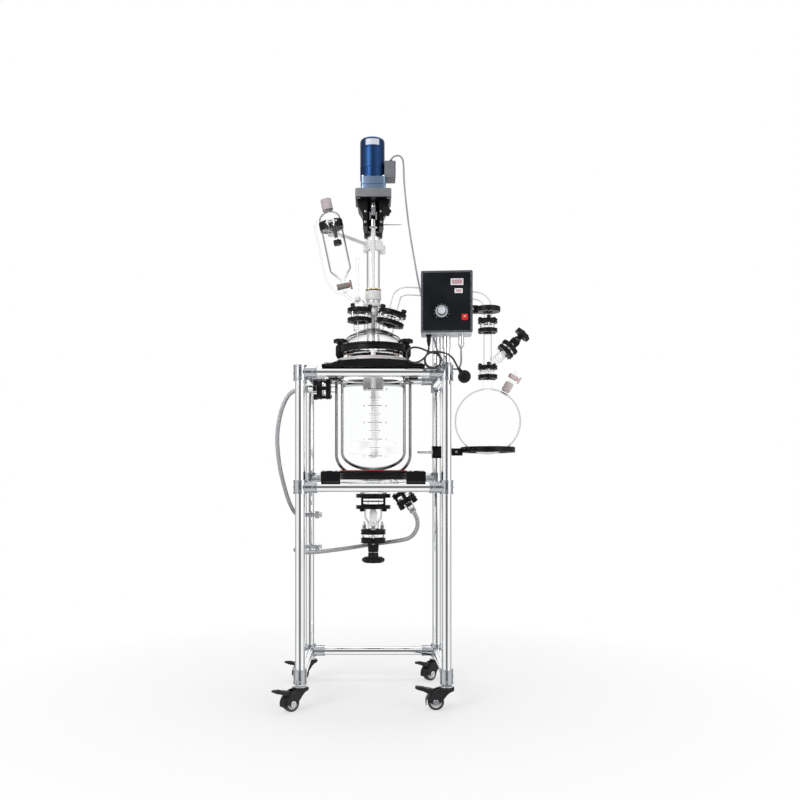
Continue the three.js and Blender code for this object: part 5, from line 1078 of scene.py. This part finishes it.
def drain_body():
    outside = [(VALVE_BORE, VALVE_LOW)]
    outside += [(r, VALVE_LOW + z) for r, z in ((37.2, 0), (38, 0.8), (38, 8), (37, 9), (24, 10), (20, 13), (19, 18))]
    outside += [(19, 580), (20, 586), (27, 594), (30, 602), (30.5, 610), (30.5, 634), (29, 641), (27, 646)]
    outside += [(29, VALVE_TOP - 8.2)]
    outside += [(DRAIN_FLANGE + r, VALVE_TOP - z) for r, z in ((-1, 8.2), (0, 7.2), (0, 1), (-1, 0))]
    inside = [(VALVE_BORE, 583), (17, 589), (23.5, 597), (26.5, 604), (27, 612), (27, 632), (25.5, 638), (20, 644),
              (DRAIN_BORE, 649), (DRAIN_BORE, VALVE_TOP)]
    spout = [(11, 26), (13, 27), (14, 31), (14, 74), (16, 77), (19, 78.5), (19, 85), (18.2, 86), (11, 86)]
    piece = Piece("drain_valve_glass")
    piece.add(glass, lathe(outside + inside[::-1], 96), put(lathe(spout, 56), stand_at(0, 0, 612, roll=-125)))
    piece.done(["drain_valve_body"], "clear_glass", angle=40)


def drain_clamp():
    piece = Piece("drain_joint_clamp", stand_at(0, 0, DRAIN_Z))
    piece.add(black, clamp_ring(60, 31.5, 12.4, 25.4), clamp_ring(60, 31.5, -25.6, -13.2),
              clamp_ring(41, 31.5, 9.2, 12.6, 0.6), clamp_ring(41, 31.5, -13.4, -9.2, 0.6))
    piece.add(seal_dark, lathe(mirrored([(19, -0.25), (39.6, -0.25), (40.6, -1.6), (41.4, -1.6)]), 72))
    bolts = circle(4, 53, 45)
    nut = lathe([(0, 0), (8.4, 0), (8.4, 6.4), (7, 8), (0, 8)], 6)
    piece.repeat(bolts, black, rod(4, -25, 25, 24), at(upside_down(nut), 0, 0, -25.6))
    piece.repeat(bolts, bolt_steel, at(hex_bolt(7.6, 5), 0, 0, 25.4), rod(3.6, -34, -25, 20))
    piece.done(["drain_clamp"], "clamp_black", 0.5)


def drain_bonnet():
    piece = Piece("drain_bonnet", VALVE)
    seat = [(7.6, 0.3), (36, 0.3), (37, 1), (37, 3.4), (7.6, 3.4)]
    neck = [(7.6, 20), (22.6, 20.4), (20.6, 22), (19.4, 26), (17.6, 50), (16.8, 51.2), (7.6, 51.2)]
    acorn = [(0, 14), (5.676, 14), (4.752, 18.48), (1.98, 25.2), (0, 28)]
    nut = [rod(8.25, 0, 1.4, 28), rod(6.6, 1.2, 14, 6), lathe(acorn, 20)]
    bolts = circle(3, 35.5, 30)
    piece.add(black, clamp_ring(43, 31.5, -26, -9.3), lathe(seat, 72), clamp_ring(43, 8, 3.2, 20.4), lathe(neck, 72))
    piece.add(bolt_steel, ring(17.2, 7.6, 50.9, 53.2, 64, 0.8, 0.6))
    piece.repeat(bolts, bolt_steel, rod(3, -34, 20, 20), at(hex_bolt(5.4, 3.6), 0, 0, 20.2))
    piece.repeat(bolts, bolt_steel, *[upside_down(shape) for shape in nut], z=-26)
    piece.done(["drain_valve_bonnet"], "clamp_black", 0.4)


def drain_handwheel():
    tip = [(0, -96), (9.5, -94), (11, -90), (13.2, -82), (13.2, -74), (12.2, -73), (12.2, -70), (13.2, -69),
           (13.2, -41), (0, -41)]
    hub = [(0, 53.8), (16.6, 53.8), (17.8, 55), (17.8, 66), (19, 68.4), (0, 68.4)]
    rim, top = star(39, 8, 0.1, 10), 87.6
    levels = ((0.8, 68, 71.4), (0.94, 71.3, 74), (1.0, 73.9, 81.6), (0.95, 81.5, 85), (0.84, 84.9, top))
    piece = Piece("drain_valve_handwheel", VALVE).add(ptfe, lathe(tip)).add(plastic, lathe(hub, 64))
    piece.add(plastic, *[prism(scaled(rim, factor), z0, z1) for factor, z0, z1 in levels])
    piece.add(bolt_steel, rod(6.6, -42, 56, 36),
              lathe([(0, top - 0.2), (6, top - 0.2), (5.2, top + 0.3), (0, top + 0.4)], 32))
    piece.done(["drain_handwheel"], "grip_black", 0.7, body="drain_screw")


drain_body()
drain_clamp()
drain_bonnet()
drain_handwheel()


# ---------------------------------------------------------------- jacket port clamps
def port_clamp(name, place, node, tail):
    """A clamp on a jacket port, and the hose adapter through it that ends at z = tail."""
    piece = Piece(name, place)
    adapter = [(8.5, CLEAR), (23.2, CLEAR), (24, 1.1), (24, 6.4), (22, 7.4), (14.6, 8.6), (13, 11), (13, tail - 18),
               (12, tail - 16), (8.5, tail - 16)]
    piece.add(black, clamp_ring(36, 12.5, 7.6, 24), clamp_ring(36, 12.5, -22, -7.6))
    piece.add(bolt_steel, lathe(adapter, 56), ring(12, 7.2, tail - 17, tail, 6, 0.8, 1),
              *[rib(9.6, 10.9, tail - 15.2 + 4.4 * k, 2, 0.5, 40) for k in range(3)])
    bolts = circle(3, 29, 30)
    piece.repeat(bolts, bolt_steel, rod(3, -27, 27, 20), at(upside_down(hex_bolt(5.6, 4)), 0, 0, -22))
    piece.repeat(bolts, plastic, *grip_head(10, 25, 37))
    piece.repeat(bolts, black, pipe(6.5, 3, -7.8, 7.8, 24))
    piece.done([node], "clamp_black", 0.5)


port_clamp("supply_port_clamp", stand_at(-INLET_OUT, 0, INLET_Z, -90), "jacket_inlet_clamp", 70)
port_clamp("return_port_clamp", OUTLET @ stand_at(0, 0, 50), "jacket_outlet_clamp", 64)


# ---------------------------------------------------------------- control box
BOX = stand_at(HALF_W, -HALF_D, 1190, turn=-4)
BOX_W, BOX_H, BOX_D = 162, 194, 92
DIAL_X, DIAL_Z, SWITCH_X, SWITCH_Z = -16, 66, 56, 48
BAR_AT = {"a": (0, 1, 1), "d": (0, -1, 1), "g": (0, 0, 1), "b": (1, 0.5, 0), "c": (1, -0.5, 0), "e": (-1, -0.5, 0),
          "f": (-1, 0.5, 0)}
DIGIT_BARS = {"0": "abcdef", "1": "bc", "2": "abged", "4": "fgbc", "6": "afgedc", "8": "abcdefg"}


def face_ring(w, h, r, less, inner_r, y0, y1, cx=0, cz=0):
    """A rectangular frame facing -Y, with an open middle that is smaller by `less`."""
    return at(to_front(pierced(rounded(w, h, r), rounded(w - less, h - less, inner_r), -y1, -y0)), cx, 0, cz)


def face_plate(w, h, r, y0, y1, cx=0, cz=0):
    return at(slab(rounded(w, h, r), y0, y1), cx, 0, cz)


def digit_shapes(text, height, cx, cz, y, bar):
    """Seven-bar figures, centred on (cx, cz), standing 0.1 proud of y."""
    w = height * 0.5
    shapes = []
    for i, figure in enumerate(text):
        x0 = cx + (i - (len(text) - 1) / 2) * (w + 2.6 * bar)
        for sx, sz, flat in [BAR_AT[name] for name in DIGIT_BARS[figure]]:
            size = (w - bar, bar) if flat else (bar, height / 2 - bar)
            shapes.append(face_plate(*size, bar * 0.3, y - 0.1, y + 0.3, x0 + sx * (w - bar) / 2,
                                     cz + sz * (height - bar) / 2))
    return shapes


def control_box():
    front, mid = -BOX_D / 2, BOX_H / 2
    piece = Piece("control_box_case", BOX)
    piece.add(box_grey, at(slab(rounded(BOX_W, BOX_H, 4, 1), front + 3, -front), 0, 0, mid))
    piece.add(box_trim, face_ring(BOX_W - 1, BOX_H - 1, 4, 11, 2, front, front + 4, 0, mid),
              face_ring(BOX_W - 11, BOX_H - 11, 2, 2, 2, front + 0.6, front + 3, 0, mid))
    piece.add(panel, face_plate(BOX_W - 11, BOX_H - 11, 1, front + 1.6, front + 3.4, 0, mid))
    for x, z, w, h, text, size in ((32, 158, 39, 20, "1280", 9.5), (37, 130, 25, 14, "60", 6.2)):
        piece.add(marks, face_ring(w, h, 1.6, 5, 0.8, front + 0.2, front + 2, x, z))
        piece.add(window_glass, face_plate(w - 4.6, h - 4.6, 0.8, front + 1, front + 2, x, z))
        piece.add(digits, *digit_shapes(text, size, x, z, front + 1, size * 0.13))
    for k in range(11):
        tick = spun(block(0.8, 0.5, 3.4 if k % 5 == 0 else 2.2, 0, 0, 23.4), "Y", 27 * k - 135)
        piece.add(marks, at(tick, DIAL_X, front + 1.5, DIAL_Z))
    piece.add(red_key, face_ring(19, 19, 2, 5.4, 1, front + 0.2, front + 3, SWITCH_X, SWITCH_Z))
    screw = along_y(lathe([(0, -0.4), (2.6, -0.4), (2.2, 0.5), (1.2, 0.5), (1.2, 0.0), (0, 0.0)], 20))
    for z in (7, BOX_H - 7):
        piece.repeat([(20 - BOX_W / 2, -front), (BOX_W / 2 - 20, -front)], bolt_steel, screw, z=z)
    gland = [(0, 2), (9.5, 2), (9.5, -3), (7.2, -4), (7.2, -9), (6.6, -11), (6.6, -20), (5, -28), (4, -34), (3.2, -35),
             (0, -35)]
    socket = [(0, 2), (12, 2), (12, -2), (9, -3), (9, -14), (8, -15), (8, -19), (9.4, -20), (9.4, -33), (8.6, -34),
              (7, -40), (4.4, -42), (0, -42)]
    flute = block(0.9, 0.9, 12, 9.4, 0, -26.5)
    piece.repeat([(-56, -4)], plastic, lathe(gland, 40), *[rib(6.2, 7, -13.6 - 3 * k, 1.9, 0.5, 36) for k in range(3)])
    piece.repeat([(46, -4)], bolt_steel, lathe(socket), *[spun(flute, "Z", 360 / 14 * k) for k in range(14)])
    piece.done(["control_box"], "box_black", 0.5)


def box_pole():
    piece = Piece("control_pole", stand_at(HALF_W, -HALF_D, 0))
    foot = [(0, 1094.3), (15.4, 1094.3), (16, 1095), (16, 1101.5), (15, 1102.3), (0, 1102.3)]
    sleeve = [(0, 1146), (12.2, 1146), (13, 1146.8), (13, 1185), (12.4, 1185.7), (0, 1185.7)]
    piece.add(steel, rod(10, 1094.3, 1229, 56), lathe(sleeve, 56)).add(fitting, lathe(foot))
    piece.add(bolt_steel, at(to_front(grub_screw(0)), 0, -12.4, 1156))
    piece.done(["box_pole"], "stainless", 0.4)


def speed_knob():
    piece = Piece("speed_dial", BOX @ stand_at(DIAL_X, -BOX_D / 2, DIAL_Z, roll=90))
    skirt = [(0, 0.6), (18, 0.6), (19, 1.4), (19, 3), (17.6, 5.2), (15.2, 6), (0, 6)]
    cap = [(0, 16.8), (12.4, 16.8), (12.4, 18), (11.2, 19.8), (0, 20)]
    knurl = [polar(14.4 + 0.5 * math.cos(math.pi * i / 4), 1.875 * i) for i in range(192)]
    piece.add(bare_plate, lathe(skirt, 72), lathe(cap, 64)).add(panel, prism(knurl, 5.8, 17))
    piece.add(dark_marks, block(1.2, 6, 0.5, 0, 7.6, 19.9)).add(bolt_steel, rod(3.3, -10, 1, 24))
    piece.done(["speed_knob"], "stainless", 0.3, body="speed_dial")


def rocker_key():
    piece = Piece("rocker_key", BOX @ stand_at(SWITCH_X, -BOX_D / 2, SWITCH_Z))
    outline = [(3, -6.8), (3, 6.8), (-5, 6.8), (-3.4, 3.4), (-2.5, 0), (-2.3, -3.4), (-2.5, -6.8)]
    piece.add(red_key, outline_to_yz(prism(outline, -6.5, 6.5))).add(pink_lens, block(6.4, 1.2, 4.2, 0, -3.3, 1.4))
    piece.done(["power_switch"], "switch_red", 0.5, body="power_rocker")


control_box()
box_pole()
speed_knob()
rocker_key()


# ---------------------------------------------------------------- litre marks
SCALE_R, SCALE_X = 111.3, 5.6
SCALE_LOW, LITRES_2 = 809, 55.3


def printed_line(width, height, z):
    """A thin line printed round the inner vessel's front."""
    turns = [-90 + math.degrees(((i / 8 - 0.5) * width + SCALE_X) / SCALE_R) for i in range(9)]
    outline = [polar(SCALE_R, a) for a in turns] + [polar(SCALE_R - 0.2, a) for a in turns[::-1]]
    return prism(outline, z - height / 2, z + height / 2)


def litre_marks():
    piece = Piece("litre_marks")
    for k in range(41):
        width, height = (46, 2.2) if k % 10 == 0 else (36, 1.8) if k % 5 == 0 else (23, 1.2)
        piece.add(scale_print, printed_line(width, height, SCALE_LOW + LITRES_2 * k / 10))
    for k in range(5):
        for x in (-30, 42):
            figures = digit_shapes(str(2 + 2 * k), 6.5, 0, SCALE_LOW + LITRES_2 * k, -SCALE_R - 0.2, 1.0)
            turn = math.degrees(math.asin(x / SCALE_R))
            piece.add(scale_print, *[spun(shape, "Z", turn) for shape in figures])
    piece.done([], "box_black")


litre_marks()


# ---------------------------------------------------------------- hoses and leads
HOSE_R, LEAD_R = 7, 3
INLET_HOSE = [
    (-238.3, 0, 1041), (-246, 0, 1041), (-264, 0, 1038), (-288, 1, 1022), (-309, 3, 985), (-324, 7, 930),
    (-330, 12, 880), (-328, 18, 820), (-320, 26, 760), (-308, 38, 705), (-296, 55, 660), (-284, 82, 627),
    (-275, 114, 610), (-270, 137, 606), (-257, 156.5, 604), (-238, 169.5, 604), (-221, 174, 604),
    (-212.3, 174, 604),
]
OUTLET_HOSE = [
    (138.6, 0, 619), (143.3, 0, 611.5), (151.2, 1, 591), (150, 4, 566), (138.5, 9, 543.5),
    (121.5, 16, 529.5), (104, 24, 523.5), (72, 39, 517), (36, 54, 511), (0, 63, 506), (-60, 64, 496),
    (-130, 62, 486), (-190, 61, 479), (-222, 62, 477), (-243, 66.5, 477), (-261.5, 78.5, 478),
    (-273.5, 96.5, 480), (-278, 118, 482), (-273.5, 139.5, 484), (-261.5, 157.5, 486), (-243, 170, 488),
    (-222, 174, 489), (-212.3, 174, 489),
]
MOTOR_CABLE = [
    (60, 0, 1812.8), (60.3, 0, 1821), (65, -1, 1832), (75, -2, 1839), (87, -4, 1839.5), (97, -6, 1832),
    (102, -8, 1818), (103.5, -11, 1798), (105, -26, 1740), (118, -80, 1580), (135, -124, 1450),
    (146, -142, 1380), (158, -148, 1320), (196, -147, 1190), (216, -145, 1136), (230, -146, 1112),
    (247, -151, 1096), (263, -162, 1088), (274, -180, 1088), (279, -198, 1099), (279, -213, 1119),
    (278.1, -217.2, 1137), (278.1, -217.2, 1147.6),
]
LEAD_START = [
    (176.4, -210.1, 1155.6), (176.2, -210.8, 1149), (173.5, -219, 1135), (163.5, -233, 1117), (147, -239.5, 1103),
    (128, -240, 1098), (111, -241, 1105), (104, -241, 1122), (111, -241, 1139), (128, -240, 1146),
    (148, -240, 1143), (168, -240, 1135),
]
LEAD_END = [(208, -261, 1128), (230, -257, 1123), (247, -250, 1112), (256, -244, 1100), (262, -241, 1089),
            (266.3, -240, 1082.4)]
LEAD_COILS = [(186 + x, -240 - 0.7 * i, 1104 + z) for i in range(31) for x, z in [polar(25, 90 - 36 * i)]]


def add_uv(piece, run, sides):
    """Lays the tube out flat: U round it and V along it, both in braid pitches."""
    mesh = piece.data
    layer = mesh.uv_layers.new(name="UVMap")
    pitch = 2 * math.pi / sides
    for face in mesh.polygons:
        columns = [mesh.loops[k].vertex_index % sides for k in face.loop_indices]
        wraps = max(columns) - min(columns) > sides / 2
        for k, column in zip(face.loop_indices, columns):
            u = column + (sides if wraps and column < sides / 2 else 0)
            layer.data[k].uv = (u * pitch, run[mesh.loops[k].vertex_index // sides] / HOSE_R)


def free_cord(name, route, r, material, node, slot, with_pieces=(), each=5):
    path = smooth_path(route, each)
    run = [0.0]
    for a, b in zip(path, path[1:]):
        run.append(run[-1] + (b - a).length)
    piece = Piece(name).add(material, tube(path, r, 20)).done([node], slot, angle=60)
    add_uv(piece, run, 20)


def hose_union(name, node, end):
    piece = Piece(name, stand_at(-212, *end[1:], 90))
    piece.add(bolt_steel, ring(13, 0, 0, 16, 6, 1, 1.2), lathe([(0, 15), (9, 15), (9, 25), (8, 26), (0, 26)], 40))
    for k in range(4):
        z = 17 + 2.1 * k
        piece.add(bolt_steel, lathe([(8.6, z), (9.0, z + 0.8), (8.6, z + 1.6)], 36))
    return piece.done([node], "stainless", 0.5)


def plug():
    piece = Piece("mains_plug_body", stand_at(286, -240, 1054))
    body = [(0, -13), (14, -13), (17, -12), (19, -9.5), (20, -6)]
    neck = [(0, 12), (8, 14), (7.6, 18), (6.4, 20), (6.6, 22), (5.6, 24), (5.8, 26), (5, 28), (5.2, 30), (4.5, 34),
            (0, 34)]
    piece.add(plastic, to_front(lathe(mirrored(body))), spun(lathe(neck, 32), "Y", -35))
    piece.add(bolt_steel, *[block(6, 18, 2, x, 20, z) for x, z in ((0, 8), (-6, -6), (6, -6))])
    return piece.done(["mains_plug"], "lead_black", 0.6)


supply_nut = hose_union("supply_union", "inlet_hose_nut", INLET_HOSE[-1])
return_nut = hose_union("return_union", "outlet_hose_nut", OUTLET_HOSE[-1])
free_cord("supply_hose", INLET_HOSE, HOSE_R, braid, "inlet_hose", "hose_braid",
          [supply_nut])
free_cord("return_hose", OUTLET_HOSE, HOSE_R, braid, "outlet_hose", "hose_braid",
          [return_nut])
free_cord("motor_lead", MOTOR_CABLE, LEAD_R, grey_sheath, "motor_cable", "cable_grey")
free_cord("mains_cable", LEAD_START + LEAD_COILS + LEAD_END, LEAD_R, black_sheath, "mains_lead", "lead_black",
          [plug()], each=4)


# ---------------------------------------------------------------- floor, background and lamps
def make_floor():
    """A pale floor that takes the shadow near the stand and passes into the white background."""
    mesh = bpy.data.meshes.new("floor")
    mesh.from_pydata([(-9, -9, 0), (9, -9, 0), (9, 9, 0), (-9, 9, 0)], [], [(0, 1, 2, 3)])
    floor = bpy.data.objects.new("floor", mesh)
    bpy.context.collection.objects.link(floor)
    floor.visible_glossy = False
    s = Surface("pale_floor", Base_Color=(0.9, 0.9, 0.9, 1), Roughness=0.8, Specular_IOR_Level=0.1)
    reach = s.add("VectorMath", s.coords["Object"], operation="LENGTH").outputs["Value"]
    far = s.ramp(reach, 0.55, 1.0, 0.35, 1.5)
    share = s.add("Math", far, s.rays("Camera", "Transmission", "Glossy"), operation="MULTIPLY")
    s.show(share, s.add("Emission", Strength=1.0))
    mesh.materials.append(s.material)


def make_world():
    """White to the camera and through glass. Reflections also see dark in front and in a band behind, which
    draws the lines of the steel."""
    world = bpy.data.worlds.new("studio")
    world.use_nodes = True
    bpy.context.scene.world = world
    w = Nodes(world.node_tree)
    back_to_front = w.add("SeparateXYZ", w.coords["Generated"]).outputs["Y"]
    ramp = w.add("ValToRGB", w.add("MapRange", back_to_front, -1.0))
    stops = ramp.color_ramp.elements
    stops[0].position, stops[0].color = 0.03, (0.16, 0.165, 0.18, 1)
    stops[1].position, stops[1].color = 0.065, (1, 1, 1, 1)
    for place, grey in ((0.5, 1.0), (0.56, 0.4), (0.87, 0.4), (0.94, 1.0)):
        stops.new(place).color = (grey, grey, grey, 1)
    lit = w.add("MixRGB", w.rays("Glossy"), (0.5, 0.5, 0.5, 1), ramp)
    seen = w.add("MixRGB", w.rays("Camera", "Transmission"), lit, (1, 1, 1, 1))
    w.feed(w.tree.nodes["Background"].inputs["Color"], seen)


def area_lamp(name, place, target, size, power):
    data = bpy.data.lights.new(name, "AREA")
    data.shape = "RECTANGLE"
    data.size, data.size_y = size
    data.energy = power
    lamp = bpy.data.objects.new(name, data)
    lamp.location = place
    lamp.rotation_euler = (Vector(place) - Vector(target)).to_track_quat("Z", "Y").to_euler()
    bpy.context.collection.objects.link(lamp)


make_floor()
make_world()
area_lamp("key", (-1.9, -2.6, 2.6), (0, 0, 0.9), (1.6, 2.2), 52)
area_lamp("fill", (2.4, -2.2, 1.5), (0, 0, 0.9), (1.2, 2.2), 22)
area_lamp("top", (0.2, 0.6, 3.6), (0, 0, 1.0), (2.0, 1.6), 30)
